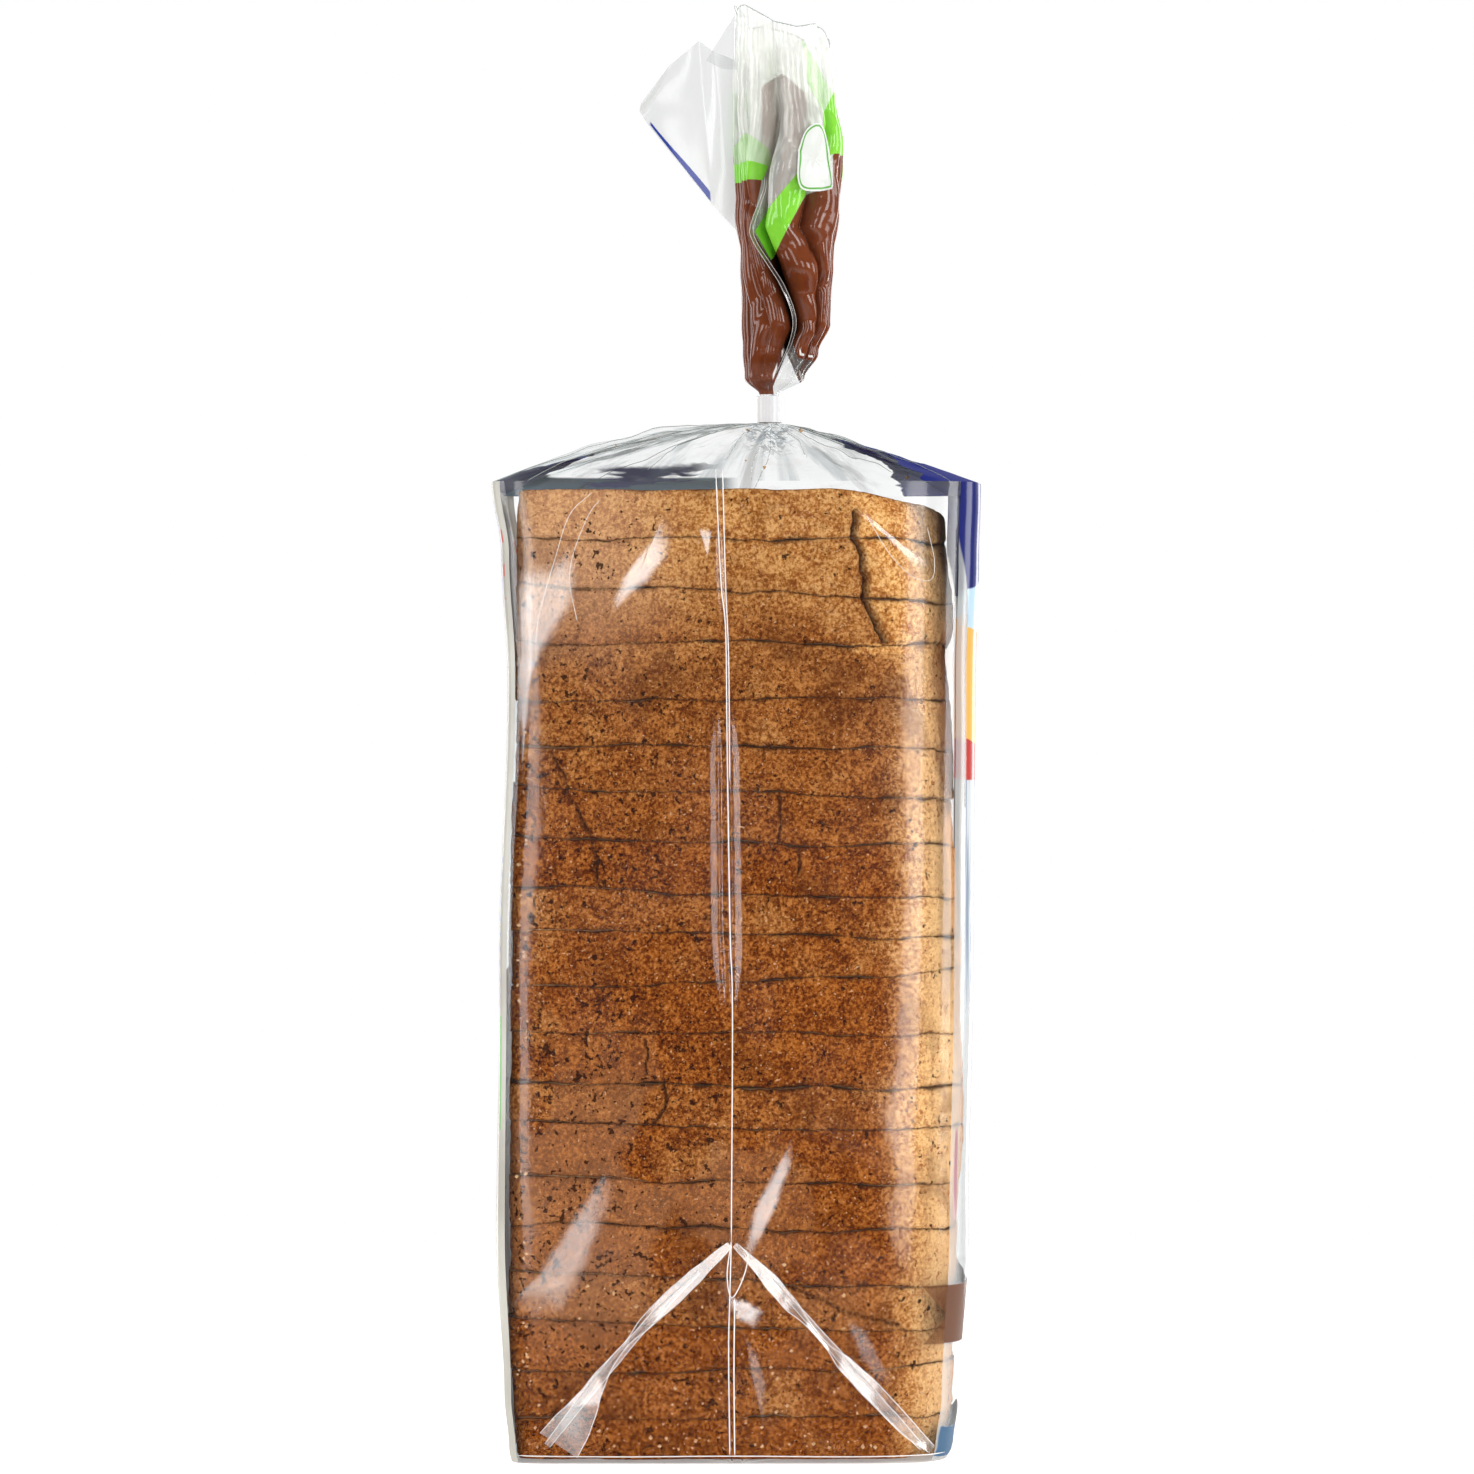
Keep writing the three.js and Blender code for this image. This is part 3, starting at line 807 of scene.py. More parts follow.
def gusset_depth(x, z):
    """How far the gusset's plain film lies from the middle plane."""
    reach = np.where(x < 0, eased(BODY_KEYS, "left", z), eased(BODY_KEYS, "right", z))
    power = np.where(x < 0, LEFT_POWER, RIGHT_POWER)
    share = np.clip(np.abs(x / reach), 0, 0.999)
    return eased(BODY_KEYS, "deep", z) * (1 - share**power) ** (1 / power)


# Swells of the -Y gusset where the film stands off the bread: middle (x, z), half length,
# half width, lean of the long axis from upright in degrees, height
SWELLS = [
    (-26, 238, 14, 9.0, -28, 0.6),
    (-46, 58, 24, 11.0, -32, 1.0),
    (30, 92, 18, 9.0, 50, 0.7),
    (36, 60, 20, 9.0, 38, 0.7),
    (20, 178, 30, 14, -12, 0.4),
    (-36, 170, 34, 12, 10, 0.4),
]

# Upright ribs of the -Y gusset: the rib's (x, z) from its top down, the width of its gentle
# flank, its height, and the side where that flank lies
RIBS = [
    ([(-5.2, 206), (-4.9, 170), (-4.6, 140), (-3.0, 112)], 2.3, 0.38, -1),
    ([(-2.0, 206), (-1.4, 170), (-1.0, 140), (-1.2, 112)], 2.6, 0.44, 1),
    ([(-5.0, 260), (-4.2, 236), (-3.2, 212)], 1.6, 0.27, -1),
    ([(-3.4, 60), (-3.2, 24), (-3.0, -20)], 1.9, 0.32, -1),
    ([(-0.2, 60), (-0.2, 24), (-0.2, -20)], 2.2, 0.37, 1),
]
RIB_FADE = 22.0
STEEP_SHARE = 0.35

# Flat folds of film that stand on the -Y gusset: corners (x, z), the slope across, and the shine
FACETS = [
    ([(-59.0, 236.8), (-49.3, 237.6), (-43.6, 242.9), (-41.4, 237.9), (-41.4, 231.9), (-43.6, 224.0),
      (-53.3, 208.2), (-57.0, 198.5)], 0.16, 0.095),
    ([(-57.6, 236.0), (-53.6, 236.0), (-53.0, 216.0), (-54.6, 196.0), (-56.6, 178.0),
      (-57.8, 200.0)], 0.17, 0.1),
    ([(-19.7, 251.0), (-16.4, 245.8), (-17.5, 239.4), (-23.2, 231.5), (-28.4, 227.9), (-33.2, 223.2),
      (-33.7, 226.1), (-30.9, 232.8), (-26.5, 239.2), (-22.0, 244.4)], 0.17, 0.14),
    ([(-10.4, 247.0), (-6.4, 246.0), (-7.6, 238.0)], 0.17, 0.11),
    ([(30.9, 251.0), (39.1, 244.0), (47.8, 235.3), (51.8, 237.0), (47.0, 239.7), (38.3, 246.6),
      (33.0, 251.4)], -0.15, 0.1),
    ([(-32.8, 80.5), (-31.6, 72.0), (-38.0, 53.4), (-46.2, 38.5), (-54.7, 37.0), (-61.0, 41.4),
      (-53.0, 50.3), (-43.0, 67.0)], 0.16, 0.075),
    ([(14.9, 87.5), (15.4, 82.0), (11.8, 70.1), (6.1, 58.3), (2.2, 52.4), (0.3, 52.5), (3.4, 65.8),
      (8.7, 77.0)], -0.16, 0.1),
    ([(-3.3, 44.6), (2.8, 43.8), (8.0, 40.4), (4.6, 35.8), (-0.7, 38.3)], -0.17, 0.17),
    ([(2.0, 34.7), (5.3, 30.3), (8.1, 21.1), (7.2, 8.6), (5.2, 17.1), (3.2, 25.0)], -0.17, 0.08),
    ([(28.0, 40.0), (34.0, 36.0), (41.0, 22.0), (38.0, 20.0), (32.0, 28.0)], -0.17, 0.06),
]
FACET_RINGS = (1.0, 0.86, 0.72, 0.55, 0.35, 0.15, 0.02)


def gusset_swell(x, z, seed):
    total = 0.45 * (rough(xyz(x, z * 0.45, seed), 24) + 0.5)
    for middle_x, middle_z, long, wide, lean, height in SWELLS:
        turn = math.radians(lean)
        dx = x - middle_x
        dz = z - middle_z
        along = dz * math.cos(turn) - dx * math.sin(turn)
        across = dx * math.cos(turn) + dz * math.sin(turn)
        total = total + height * np.exp(-((along / long) ** 2) - (across / wide) ** 2)
    for places, wide, height, side in RIBS:
        rib_x, rib_z = np.array(places[::-1], float).T
        away = (x - np.interp(z, rib_z, rib_x)) * side / wide
        fade = smooth((z - rib_z[0]) / RIB_FADE) * smooth((rib_z[-1] - z) / RIB_FADE)
        away = away / (0.3 + 0.7 * fade)
        flank = np.where(away > 0, 1 - away, 1 + away / STEEP_SHARE)
        total = total + height * np.clip(flank, 0, 1) * fade
    edge = smooth((62 - np.abs(x)) / 6) * smooth((z + 2) / 12) * smooth((SHOULDER_Z + 4 - z) / 14)
    return np.clip(total, 0, None) * edge


def gusset_point(x, z, sign, lift=0.0):
    seed = 4.0 if sign < 0 else 31.0
    return xyz(x, sign * (gusset_depth(x, z) + gusset_swell(x, z, seed) + lift), z)


def heights_to_shoulder(low_rows, rows):
    """Heights from the base to the shoulder, closer together up to 12 mm."""
    return np.concatenate([np.linspace(0, 12, low_rows)[:-1], np.linspace(12, SHOULDER_Z, rows)])


def gusset_piece(name, sign, material):
    """One clear side of the bag, from corner to corner and from the base to the shoulder."""
    rows_up, columns = (190, 240) if sign < 0 else (100, 110)
    share = np.linspace(0, 1, columns)
    rows = []
    for z in heights_to_shoulder(11, rows_up):
        left = -eased(BODY_KEYS, "left", z) * 0.5 ** (1 / LEFT_POWER)
        right = eased(BODY_KEYS, "right", z) * 0.5 ** (1 / RIGHT_POWER)
        rows.append(gusset_point(left + (right - left) * share, z, sign))
    sheet(name, "clear_film", material, rows, flip=sign > 0)


def panel_piece(name, side, material):
    """One printed side of the bag."""
    share = np.linspace(-1, 1, 72)
    key, power = ("left", LEFT_POWER) if side < 0 else ("right", RIGHT_POWER)
    rows = []
    for z in heights_to_shoulder(7, 110):
        deep = eased(BODY_KEYS, "deep", z)
        y = deep * 0.5 ** (1 / power) * share
        x = eased(BODY_KEYS, key, z) * (1 - np.abs(y / deep) ** power) ** (1 / power)
        swell = 0.5 * rough(xyz(y, z * 0.6, 70.0 * side), 26) * smooth((1 - np.abs(share)) / 0.2)
        fade = smooth((z + 2) / 12) * smooth((262 - z) / 14)
        rows.append(xyz(side * (x + swell * fade), y, z))
    sheet(name, "printed_film", material, rows, flip=side < 0)


def ribbon(batch, places, sign, lean, seed):
    """A folded strip of film on a gusset. Places are (x, z, half width, lift), and the strip
    rises from one edge to the other, towards the side that lean gives. Returns the two edges."""
    path_x, path_z, half, lift = curve_through(places, 60).T
    along_x, along_z = np.gradient(path_x), np.gradient(path_z)
    long = np.hypot(along_x, along_z)
    u = np.linspace(-1, 1, 7)
    half = half * (1 + 0.16 * rough(xyz(path_x, path_z, seed), 6))
    x = path_x[:, None] - (along_z / long)[:, None] * u * half[:, None]
    z = path_z[:, None] + (along_x / long)[:, None] * u * half[:, None]
    z = np.clip(z, 0.6, None)
    rise = (1 + lean * u) / 2
    ripple = 0.07 * rough(xyz(x, z, seed + 5), 3.5)
    points = gusset_point(x, z, sign, 0.2 + (lift[:, None] + ripple) * rise)
    batch.grid(points, flip=sign > 0)
    return points[:, 0], points[:, -1]


# Folded strips of a gusset: places (x, z, half width, lift), and the side that stands up
RIBBONS = [
    ([(-10, 51, 0.5, 0.5), (-22, 39, 1.0, 0.8), (-36, 23, 1.3, 0.9), (-50, 5, 0.8, 0.5)], -1),
    ([(9, 49, 0.5, 0.5), (22, 34.5, 0.9, 0.8), (36, 18, 1.4, 0.9), (49, 4, 0.8, 0.5)], 1),
    ([(-1.9, 58, 0.8, 0.5), (-8, 52.5, 1.5, 0.9), (-15, 46, 2.0, 1.1), (-23, 38.5, 1.8, 1.1),
      (-29, 32, 0.6, 0.8), (-35, 24.5, 1.5, 0.9), (-41, 14, 4.0, 1.1), (-47, 5, 6.0, 0.8)], 1),
    ([(-0.6, 58, 0.6, 0.5), (7, 50.5, 1.6, 1.0), (13, 43.5, 1.9, 1.1), (18, 38, 0.8, 0.9),
      (24, 31, 0.6, 0.8), (29, 26, 2.0, 1.1), (37, 18, 2.4, 1.2), (45, 9.5, 2.1, 1.0),
      (51.5, 3.5, 1.0, 0.7)], -1),
]

# Folded edges that lie on a gusset, drawn as pale lines that are partly painted highlight: places (x, z)
# and radius
EDGE_LINES = [
    ([(-5.6, 262), (-4.2, 232), (-3.0, 220), (-2.6, 190), (-1.8, 140), (-1.2, 120), (-1.5, 59)], 0.17),
    ([(-3.8, 262), (-3.0, 232), (-2.2, 212), (-1.9, 180)], 0.16),
    ([(-1.5, 59), (-1.9, 44), (-2.2, 30), (-1.9, 2.5)], 0.17),
    ([(-0.6, 44), (-0.8, 25), (-0.6, 2.5)], 0.18),
    ([(-1.5, 59), (-2.6, 50), (-1.4, 44), (1.5, 49), (2.8, 55), (0.5, 58)], 0.16),
    ([(-53, 216), (-52, 224), (-48, 238), (-44, 250), (-38, 256)], 0.07),
    ([(-42, 222), (-44, 232), (-43, 240), (-39, 250), (-36, 254)], 0.07),
    ([(34, 250), (40, 240), (46, 234), (51, 233), (52, 238), (50, 247)], 0.07),
    ([(-58, 2.2), (-30, 2.0), (0, 2.2), (30, 2.0), (55, 2.3)], 0.16),
]
RIBBON_EDGE_R = 0.1
# How far the back gusset's mirrored folds are moved along X
BACK_SHIFT = -3


def fold_pieces(sign, ribbon_film, edge_film):
    name = "front" if sign < 0 else "back"
    shift = 0 if sign < 0 else BACK_SHIFT
    strips = Batch()
    edges = Batch()
    for number, (places, lean) in enumerate(RIBBONS):
        places = [(-sign * x + shift, *others) for x, *others in places]
        for side in ribbon(strips, places, sign, lean * -sign, number * 3.7):
            tube(edges, side, RIBBON_EDGE_R)
    for places, radius in EDGE_LINES:
        x, z = curve_through(places, 50).T
        z = np.clip(z, 1.0, SHOULDER_Z + 3)
        tube(edges, gusset_point(-sign * x + shift, z, sign, 0.45), radius)
    strips.piece(f"fold_strips_{name}", "clear_film", ribbon_film)
    edges.piece(f"fold_edges_{name}", "clear_film", edge_film)


def facets_piece(material):
    """Flat folds that catch the light on the -Y gusset, each one a shallow tilted face."""
    batch = Batch()
    for corners, slope, shine in FACETS:
        outline = straight_through([*corners, corners[0]], len(corners) * 5 + 1)[:-1]
        middle = outline.mean(axis=0)
        width = np.ptp(outline[:, 0])
        depth = gusset_point(*middle, -1)[1] - 0.4 - abs(slope) * width / 2
        rows = []
        for scale in FACET_RINGS:
            x, z = (middle + (outline - middle) * scale).T
            rows.append(xyz(x, depth - slope * (x - middle[0]), z))
        inside = np.repeat(1 - np.array(FACET_RINGS)[:, None], len(outline), axis=1)
        batch.grid(rows, closed=True, inside=inside, shine=np.full(inside.shape, shine))
    batch.piece("film_facets", "clear_film", material)


BASE_RINGS = (1.0, 0.97, 0.9, 0.8, 0.65, 0.5, 0.35, 0.2, 0.05)
SEAM_LIFT = 0.35
SEAM_R = 0.3


def base_piece(material):
    """The film under the end slice. The block bottom's seal along Y is drawn by seam_piece."""
    angles = np.linspace(0, TAU, 160, endpoint=False)
    rim = np.array(film_place(angles, 0))
    rows = []
    for scale in BASE_RINGS:
        wrinkle = 0.5 + 0.5 * rough(xyz(*rim * scale, 0), 9)
        rows.append(xyz(*rim * scale, (1 - smooth((scale - 0.9) * 10)) * 0.5 * wrinkle))
    batch = Batch()
    batch.grid(rows, closed=True)
    hub = batch.add([0, 0, 0.3], [])
    batch.fan((len(rows) - 1) * len(angles), len(angles), hub)
    batch.piece("film_base", "clear_film", material)


def seam_piece(material):
    """The sealed seam of the block bottom, and the edges of its folded corners."""
    batch = Batch()
    y = np.linspace(-50, 50, 50)
    for offset in (-1.4, 1.4):
        tube(batch, xyz(offset + 0.2 * np.sin(y * 0.2), y, SEAM_LIFT), SEAM_R)
    t = np.linspace(0, 1, 20)
    for side_x in (-1, 1):
        for side_y in (-1, 1):
            tube(batch, xyz(side_x * (2 + 50 * t), side_y * (50 - 46 * t), SEAM_LIFT), SEAM_R)
    batch.piece("base_seam", "clear_film", material)


# The gathered roof

# Creases: the angle round the neck in degrees, height and width
ROOF_CREASES = [
    (-150, 2.2, 9), (-112, 3.0, 8), (-84, 2.4, 7), (-48, 1.6, 9), (-8, 0.6, 10),
    (40, 1.2, 9), (84, 2.6, 8), (128, 2.4, 9), (172, 0.8, 10),
]
# Edges of creases, drawn as grey lines of painted shade: the angle, and the start and end of the way to
# the neck
ROOF_EDGES = [
    (-150, 0.0, 0.95), (-136, 0.0, 0.9), (-118, 0.1, 0.98), (-100, 0.25, 0.98), (-84, 0.0, 0.97),
    (-70, 0.3, 0.97), (-55, 0.1, 0.9), (-44, 0.0, 0.95), (-28, 0.2, 0.9), (-8, 0.1, 0.9),
    (40, 0.0, 0.95), (84, 0.0, 0.95), (128, 0.0, 0.95), (172, 0.05, 0.9),
]
LEFT_EASE = 1.9
RIGHT_EASE = 1.25
ROOF_ROWS = 34
ROOF_COLUMNS = 300


def degrees_apart(degrees, middle):
    return np.abs((degrees - middle + 180) % 360 - 180)


def creases_at(degrees, creases):
    """Sum of sharp creases round an axis at each angle."""
    total = np.zeros(np.shape(degrees))
    for middle, size, width in creases:
        total = total + size * np.exp(-degrees_apart(degrees, middle) / width * 1.3)
    return total


def roof_point(angle, t, drop=0.0):
    """A place on the roof at an angle and at a share t of the way from the shoulder to the neck."""
    x0, y0 = film_place(angle, SHOULDER_Z)
    inner = NECK_R + 0.6
    x = x0 + (NECK_X + inner * np.cos(angle) - x0) * t
    y = y0 + (inner * np.sin(angle) - y0) * t
    ease = RIGHT_EASE + (LEFT_EASE - RIGHT_EASE) * (1 - np.cos(angle)) / 2
    rise = (NECK_Z - SHOULDER_Z) * (1 - (1 - t) ** ease)
    swell = np.sin(np.pi * np.clip(t, 0, 1)) ** 1.5
    where = xyz(np.cos(angle) * 5, np.sin(angle) * 5, t * 2.2)
    folds = creases_at(np.degrees(angle), ROOF_CREASES) - 1.4
    pleats = 1.1 * rough(where, 0.42) + 0.6 * rough(where, 0.17)
    return xyz(x, y, SHOULDER_Z + rise + (folds + pleats - drop) * swell)


def roof_piece(material):
    """The roof, and the film that goes on through the neck inside the tape."""
    angles = np.linspace(0, TAU, ROOF_COLUMNS, endpoint=False)
    rows = [roof_point(angles, t) for t in np.linspace(0, 1, ROOF_ROWS)]
    flute = NECK_R * (1 + 0.03 * np.cos(11 * angles))
    for z in (NECK_Z, NECK_TOP_Z):
        rows.append(xyz(NECK_X + flute * np.cos(angles), flute * np.sin(angles), z))
    sheet("roof_outer", "clear_film", material, rows, closed=True)


def roof_edges(material):
    """Creases that run from the shoulders to the neck, drawn as grey lines of painted shade."""
    batch = Batch()
    for degrees, start, end in ROOF_EDGES:
        t = np.linspace(start, end, 36)
        angle = np.radians(degrees + 3.0 * np.sin(4 * t + degrees))
        tube(batch, roof_point(angle, t, -0.15), 0.1)
    batch.piece("roof_creases", "clear_film", material)


# The tail

TAIL_KEYS = {
    "z": [NECK_TOP_Z, 289, 296, 304, 320, 335, 352, 366, 390],
    "middle": [8.8, 10.2, 12.0, 13.4, 13.8, 13.9, 14.2, 13.0, 11.9],
    "wide": [2.7, 8.2, 10.6, 12.4, 12.9, 14.5, 15.5, 14.2, 12.6],
    "deep": [2.7, 8.5, 13.0, 16.5, 21.0, 24.0, 26.0, 27.0, 27.5],
}
# Folds: the angle in degrees, the depth as a share of the radius, and the width
TAIL_FOLDS = [
    (-98, 0.66, 9), (-52, 0.34, 8), (-14, 0.24, 10), (28, 0.42, 9), (66, 0.5, 8),
    (104, 0.56, 9), (144, 0.44, 9), (202, 0.36, 8), (234, 0.14, 10),
]
# The tail's printed fields, seen from -Y, as outlines (x, z) in millimetres. The back mirrors
# them about the middle.
TAIL_FIELDS = {
    "brown": [
        [(-6, 342.4), (6.8, 341.9), (3.9, 328.9), (9.3, 319.1), (16, 302), (9.7, 286.4), (10.4, 282),
         (-2, 282)],
        [(9.3, 320.4), (18.7, 337.9), (25.9, 340), (25.9, 349.1), (34, 350.5), (34, 292.6),
         (16.5, 294), (13, 304)],
    ],
    "green": [
        [(4.8, 328.1), (9.3, 320.0), (18.9, 338.4), (16.5, 343.2), (8.4, 333.8)],
        [(23.4, 348.0), (25.9, 348.9), (34, 350.8), (34, 370), (26.3, 366.0), (23.2, 360.0)],
        [(-6, 342.2), (7.0, 341.7), (8.6, 345.6), (3.0, 346.8), (-6, 347.4)],
    ],
    "faded_green": [
        [(-6, 347.2), (3.0, 346.6), (9.6, 345.4), (8.6, 350.0), (2.1, 354.6)],
        [(17.3, 379.0), (26.6, 364.5), (23.4, 359.5), (18.8, 367.0)],
    ],
}
TAIL_MIDDLE_X = 13.7
MOUTH_Z = 383.6
TAIL_LABEL = [
    (16.4, 349.0), (18.6, 354.4), (22.4, 356.0), (24.6, 350.0), (25.8, 340.4), (24.8, 338.8),
    (18.4, 338.2), (16.3, 341.0),
]
LABEL_RINGS = (1.0, 0.94, 0.88, 0.82, 0.7, 0.5, 0.3, 0.1, 0.01)
# The film's back half, seen through the milky front, is brown here
INNER_FIELDS = {"brown": [[(6.6, 367.0), (12, 370.5), (18.8, 364.5), (18.4, 300), (7.5, 300)]]}
# Angle of the main valley of the -Y side by height, in degrees
VALLEY_TURN = [(288, -87), (302, -76), (319, -104), (329, -126), (342, -116), (360, -98)]


def inside_distance(outline, x, z):
    """Distance from each place to an outline's edge, negative outside it."""
    corners = np.array(outline, float)
    nearest = np.full(x.shape, FAR)
    crossings = np.zeros(x.shape, int)
    for (ax, az), (bx, bz) in zip(corners, np.roll(corners, -1, axis=0)):
        dx, dz = bx - ax, bz - az
        t = np.clip(((x - ax) * dx + (z - az) * dz) / (dx * dx + dz * dz), 0, 1)
        nearest = np.minimum(nearest, np.hypot(x - ax - t * dx, z - az - t * dz))
        spans = (az > z) != (bz > z)
        crossings += spans & (x < ax + (z - az) * dx / np.where(dz == 0, 1e-9, dz))
    return np.where(crossings % 2 == 1, nearest, -nearest)


def tail_piece(name, material, fields, columns, shrink=1.0, seed=0.0, top=1.0):
    """One pleated sheet of the tail, as an open tube from the neck to its ragged mouth."""
    angles = np.linspace(0, TAU, columns, endpoint=False)
    degrees = np.degrees(angles)
    mouth = MOUTH_Z - 4.6 * np.cos(angles) + 1.6 * np.abs(np.sin(2.5 * angles + 0.4))
    mouth = mouth + 1.2 * np.sin(5 * angles)
    front = np.exp(-((degrees_apart(degrees, 270) / 50) ** 2))
    valley = TAIL_FOLDS[0][0]
    rows = []
    valley_shade = []
    for w in np.linspace(0, 1, columns // 2):
        z = NECK_TOP_Z + (mouth - NECK_TOP_Z) * top * w
        wide = eased(TAIL_KEYS, "wide", z)
        deep = eased(TAIL_KEYS, "deep", z)
        r = shrink / np.hypot(np.cos(angles) / wide, np.sin(angles) / deep)
        turned = degrees - (np.interp(z, *zip(*VALLEY_TURN)) - valley) * front
        folds = creases_at(turned, TAIL_FOLDS) * (1 - 0.45 * smooth((z - 345) / 25))
        where = xyz(np.cos(angles) * 13, np.sin(angles) * 13, z + seed * 30)
        crumple = 0.14 * (0.5 - np.abs(rough(where, 13)) * 2)
        crumple = crumple + 0.04 * (0.5 - np.abs(rough(where, 6)) * 2) * smooth(0.3 + np.cos(angles))
        calm = 1 - 0.6 * smooth((z - 345) / 15)
        crumple = crumple * calm * (0.15 + 0.85 * np.abs(np.sin(angles)))
        # Where the main fold's valley lies, for the painted shade in the tail's material.
        bell = np.exp(-((degrees_apart(turned, valley) / 11) ** 2))
        valley_shade.append(bell * smooth((z - 288) / 8) * smooth((334 - z) / 16))
        r = r * (1 - smooth((z - NECK_TOP_Z) / 14) * (np.clip(folds, 0, 0.8) + crumple))
        rows.append(xyz(eased(TAIL_KEYS, "middle", z) + r * np.cos(angles), r * np.sin(angles), z))
    rows = np.array(rows)
    x, y, z = np.moveaxis(rows, -1, 0)
    seen_x = np.where(y < 0, x, 2 * TAIL_MIDDLE_X - x)
    layers = {"valley": valley_shade}
    for field in TAIL_FIELDS:
        distances = [inside_distance(outline, seen_x, z) for outline in fields.get(field, [])]
        layers[field] = np.max(distances, axis=0) if distances else np.full(x.shape, -9.0)
    sheet(name, "printed_film", material, rows, closed=True, **layers)
    return rows


def label_piece(tail_rows, material):
    """The bare label, laid on the front of the tail."""
    outline = curve_through([*TAIL_LABEL, TAIL_LABEL[0]], 48)[:-1]
    middle = outline.mean(axis=0)
    tail_x, tail_y, tail_z = tail_rows.reshape(-1, 3).T
    rows = []
    for scale in LABEL_RINGS:
        x, z = (middle + (outline - middle) * scale).T
        reach = np.hypot(tail_x - x[:, None], tail_z - z[:, None])
        rows.append(xyz(x, np.where(reach < 3.5, tail_y, 0).min(axis=1) - 0.5, z))
    rows = np.array(rows)
    y = rows[..., 1]
    rows[..., 1] = np.minimum(y, 0.5 * y + 0.5 * y.mean())
    inside = np.linalg.norm(rows[..., [0, 2]] - rows[:1, :, [0, 2]], axis=2)
    sheet("tail_label", "printed_film", material, rows, closed=True, inside=inside)


def mouth_piece(tail_rows, material):
    """The cut edge of the tail's mouth."""
    batch = Batch()
    tube(batch, tail_rows[-1], 0.14)
    batch.piece("tail_mouth", "clear_film", material)


# The clear hem of the front fold: (x, z) down the tail, and its distance to the front
HEM = [
    (7.6, 342.5, 14), (7.4, 339, 15.5), (4.1, 329.5, 14.5), (4.6, 325.5, 14.5), (8.6, 319, 16),
    (12.4, 313, 14.5), (15.4, 305, 12.5), (14.6, 298.5, 10), (10.8, 290, 7),
]


def hem_piece(film, edge_film):
    x, z, front = curve_through(HEM, 70).T
    wide = 0.3 + 0.8 * np.sin(np.pi * np.linspace(0.08, 0.95, len(x)))
    sides = [xyz(x + side * wide, side * 0.8 - front, z) for side in (-0.5, 0.5)]
    edges = Batch()
    for side in sides:
        tube(edges, side, 0.07)
    sheet("tail_hem", "clear_film", film, sides)
    edges.piece("tail_hem_edges", "clear_film", edge_film)


# Lower and upper edge (x, z) of the loose flap, and of a corner of the tail's mouth that is
# folded over towards -X
FLAP_EDGES = (
    [(8, 321), (-0.1, 329.4), (-6.9, 336.6), (-24.3, 358.6), (-26.6, 362.4)],
    [(8, 372), (-6.9, 378.3), (-10.4, 381.3), (-18.5, 374.6), (-26.2, 364.4)],
)
CORNER_EDGES = (
    [(1, 372.0), (-4, 372.4), (-8.4, 374.8)],
    [(4, 388.5), (0.6, 388.8), (-7.6, 376.0)],
)


def flap_piece(name, edges, depth_at, material):
    """A flat flap of film between a lower and an upper edge, at the depth that depth_at(s, t) gives."""
    lower, upper = (straight_through(edge, 80)[:, None] for edge in edges)
    s = np.linspace(0, 1, 80)[:, None]
    t = np.linspace(0, 1, 60)[None, :]
    flat = lower * (1 - t[..., None]) + upper * t[..., None]
    x, z = flat[..., 0], flat[..., 1]
    points = xyz(x, depth_at(s, t) + 0.4 * rough(xyz(x, z, 0), 11), z)
    inset = np.linalg.norm(flat - lower, axis=2) * 0.7
    sheet(name, "printed_film", material, points, inset=inset, along=np.broadcast_to(s, inset.shape))


# Crumbs

FRONT_CRUMBS = 90
EDGE_CRUMBS = 30
BACK_CRUMBS = 40
ROOF_CRUMBS = 9
CRUMB_FACES = [(0, 2, 4), (2, 1, 4), (1, 3, 4), (3, 0, 4), (2, 0, 5), (1, 2, 5), (3, 1, 5), (0, 3, 5)]


def crumbs_piece(material):
    """Loose crumbs caught between the bread and the film."""
    random = np.random.default_rng(7)
    places = []
    for _ in range(FRONT_CRUMBS):
        places.append(gusset_point(random.uniform(-56, 54), 4 + 50 * random.random() ** 2.2, -1, -0.7))
    for _ in range(EDGE_CRUMBS):
        places.append(gusset_point(-58 + random.uniform(0, 3), random.uniform(20, 200), -1, -0.8))
    for _ in range(BACK_CRUMBS):
        places.append(gusset_point(random.uniform(-56, 54), 4 + 60 * random.random() ** 2, 1, -0.7))
    for _ in range(ROOF_CRUMBS):
        places.append(roof_point(random.uniform(0, TAU), random.uniform(0.1, 0.9), 0.8))
    axes = np.array([[1, 0, 0], [-1, 0, 0], [0, 1, 0], [0, -1, 0], [0, 0, 1], [0, 0, -1]])
    batch = Batch()
    for place in places:
        size = random.uniform(0.25, 0.62)
        corners = random.normal(size=(6, 3))
        corners = corners / np.linalg.norm(corners, axis=1)[:, None]
        batch.add(place + (axes + 0.35 * corners) * size, CRUMB_FACES)
    batch.piece("loose_crumbs", "bread_crust", material, smooth_faces=False)


# Camera, lights and floor, in metres

CAMERA_DISTANCE = 1.8
CAMERA_HEIGHT = 0.1916
SENSOR_WIDTH = 36
PHOTO_WIDTH = 1474 / 3.68 * MM
LIGHT_AIM = Vector((0, 0, 0.18))
FLOOR_GLOW = 0.5
FLOOR_RADIUS = 0.75
FLOOR_SIDES = 96

BACKDROP_STRENGTH = 1.0
MIRRORED_STRENGTH = 0.14

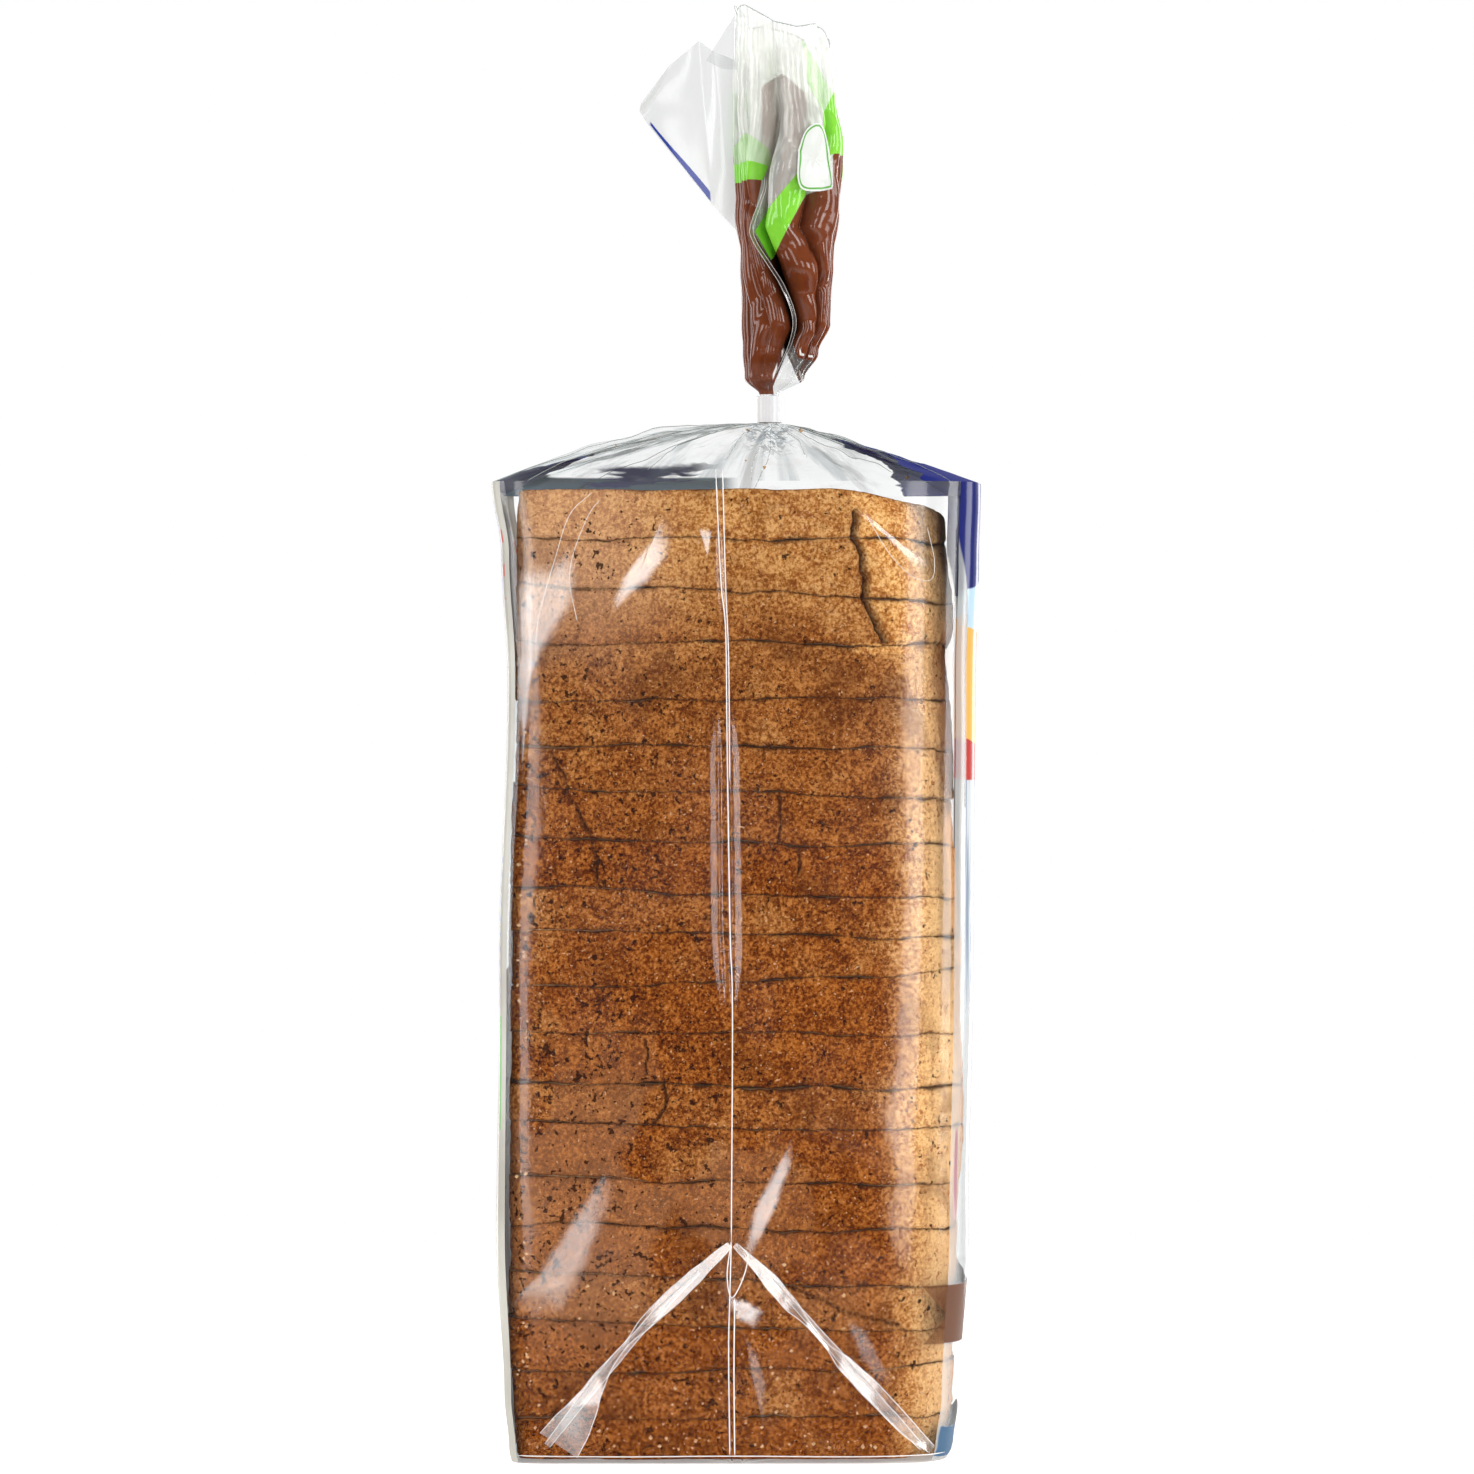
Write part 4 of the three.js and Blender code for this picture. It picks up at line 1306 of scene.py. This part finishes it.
# Lights: azimuth, distance, height, size and radiance. Azimuth 0 is the camera's side, 90 is +X.
LIGHTS = {
    "soft_left": (-66, 1.5, 0.45, (0.55, 0.9), 7.0),
    "soft_right": (66, 1.5, 0.45, (0.55, 0.9), 10.0),
    "soft_back_left": (-114, 1.5, 0.45, (0.55, 0.9), 5.0),
    "soft_back_right": (114, 1.5, 0.45, (0.55, 0.9), 6.0),
    "front_left": (-20, 1.6, 0.3, (0.34, 1.0), 6.0),
    "front_right": (20, 1.6, 0.3, (0.34, 1.0), 7.5),
    "front_back_left": (-160, 1.6, 0.3, (0.34, 1.0), 7.0),
    "front_back_right": (160, 1.6, 0.3, (0.34, 1.0), 7.0),
    "overhead": (0, 0.01, 1.7, (0.9, 0.9), 5.0),
    "backdrop": (180, 2.5, 0.6, (4.0, 2.4), 0.9),
}


def stage_camera():
    """The photograph's view: level, and as far off as its slight perspective shows."""
    data = bpy.data.cameras.new("camera")
    data.sensor_width = SENSOR_WIDTH
    data.lens = SENSOR_WIDTH * CAMERA_DISTANCE / PHOTO_WIDTH
    camera = bpy.data.objects.new("camera", data)
    camera.location = (0, -CAMERA_DISTANCE, CAMERA_HEIGHT)
    camera.rotation_euler = (math.pi / 2, 0, 0)
    bpy.context.scene.collection.objects.link(camera)
    bpy.context.scene.camera = camera


def area_light(name, azimuth, distance, height, size, radiance):
    """A soft light that faces the loaf."""
    data = bpy.data.lights.new(name, "AREA")
    data.shape = "RECTANGLE"
    data.size, data.size_y = size
    data.energy = radiance * math.pi * size[0] * size[1]
    light = bpy.data.objects.new(name, data)
    turn = math.radians(azimuth)
    light.location = (distance * math.sin(turn), -distance * math.cos(turn), height)
    light.rotation_euler = (LIGHT_AIM - light.location).to_track_quat("-Z", "Y").to_euler()
    bpy.context.scene.collection.objects.link(light)


def stage_world():
    """A white backdrop for the camera, and a softer grey for what the film mirrors."""
    world = bpy.data.worlds.new("studio")
    world.use_nodes = True
    tree = world.node_tree
    tree.nodes.clear()
    path = tree.nodes.new("ShaderNodeLightPath")
    strength = tree.nodes.new("ShaderNodeMapRange")
    strength.inputs["To Min"].default_value = MIRRORED_STRENGTH
    strength.inputs["To Max"].default_value = BACKDROP_STRENGTH
    background = tree.nodes.new("ShaderNodeBackground")
    background.inputs["Color"].default_value = (1, 1, 1, 1)
    output = tree.nodes.new("ShaderNodeOutputWorld")
    tree.links.new(path.outputs["Is Camera Ray"], strength.inputs["Value"])
    tree.links.new(strength.outputs[0], background.inputs["Strength"])
    tree.links.new(background.outputs[0], output.inputs[0])
    bpy.context.scene.world = world
    bpy.context.scene.view_settings.view_transform = "Standard"


def stage_floor():
    """A round sheet of white paper that fades out into the backdrop."""
    turns = np.arange(FLOOR_SIDES) * TAU / FLOOR_SIDES
    corners = [(FLOOR_RADIUS * math.cos(a), FLOOR_RADIUS * math.sin(a), 0) for a in turns]
    mesh = bpy.data.meshes.new("floor")
    mesh.from_pydata(corners, [], [tuple(range(FLOOR_SIDES))])
    n = Nodes("floor_paper")
    away = n.math("SQRT", n.x * n.x + n.y * n.y)
    colour = n.mix(n.noise(300, 2.0), srgb(250, 250, 250), srgb(255, 255, 255))
    glow = n.new("ShaderNodeEmission", {"Strength": FLOOR_GLOW}).outputs[0]
    lit_paper = n.new("ShaderNodeAddShader", {0: n.principled(colour, 0.9, specular=0.0), 1: glow})
    material = n.finish(n.mixed(away.between(300, 700), lit_paper.outputs[0], n.clear()))
    material.cycles.emission_sampling = "NONE"
    mesh.materials.append(material)
    floor = bpy.data.objects.new("floor", mesh)
    bpy.context.scene.collection.objects.link(floor)


stage_camera()
stage_world()
for name, light in LIGHTS.items():
    area_light(name, *light)
stage_floor()

crust = crust_material()
crumb = crumb_material()
angles = outline_angles()
for index in range(len(CUTS) + 1):
    slice_piece(index, angles, crust, crumb)

clear_film = clear_material("clear_film", 0.05)
strip_film = clear_material("strip_film", 0.2, gloss=0.15)
edge_film = edge_material("film_edge", srgb(244, 242, 240), 0.62)
grey_edge_film = edge_material("grey_film_edge", srgb(150, 160, 158), 0.6)
gusset_piece("gusset_front", -1, gusset_material())
gusset_piece("gusset_back", 1, clear_film)
panel_piece("panel_right", 1, front_print_material())
panel_piece("panel_left", -1, back_print_material())
fold_pieces(-1, strip_film, edge_film)
fold_pieces(1, strip_film, edge_film)
facets_piece(facet_material())
base_piece(clear_film)
seam_piece(edge_film)

roof_piece(roof_material())
roof_edges(grey_edge_film)

tail_film = tail_material()
tail_rows = tail_piece("tail_outer", tail_film, TAIL_FIELDS, 300)
tail_piece("tail_inner", tail_film, INNER_FIELDS, 180, shrink=0.7, seed=5.0, top=0.94)
label_piece(tail_rows, label_material())
mouth_piece(tail_rows, grey_edge_film)
hem_piece(strip_film, edge_film)
flap_piece("tail_flap", FLAP_EDGES, lambda s, t: 1.2 + 6 * smooth(s) + 0.8 * np.sin(9 * s + 3 * t),
           flap_material())
flap_piece("tail_corner", CORNER_EDGES, lambda s, t: -9 + 3 * s, strip_film)
crumbs_piece(crumbs_material())

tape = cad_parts["neck_tape"]
tape.data.materials.clear()
tape.data.materials.append(tape_material())

bpy.context.scene.cycles.transparent_max_bounces = 48
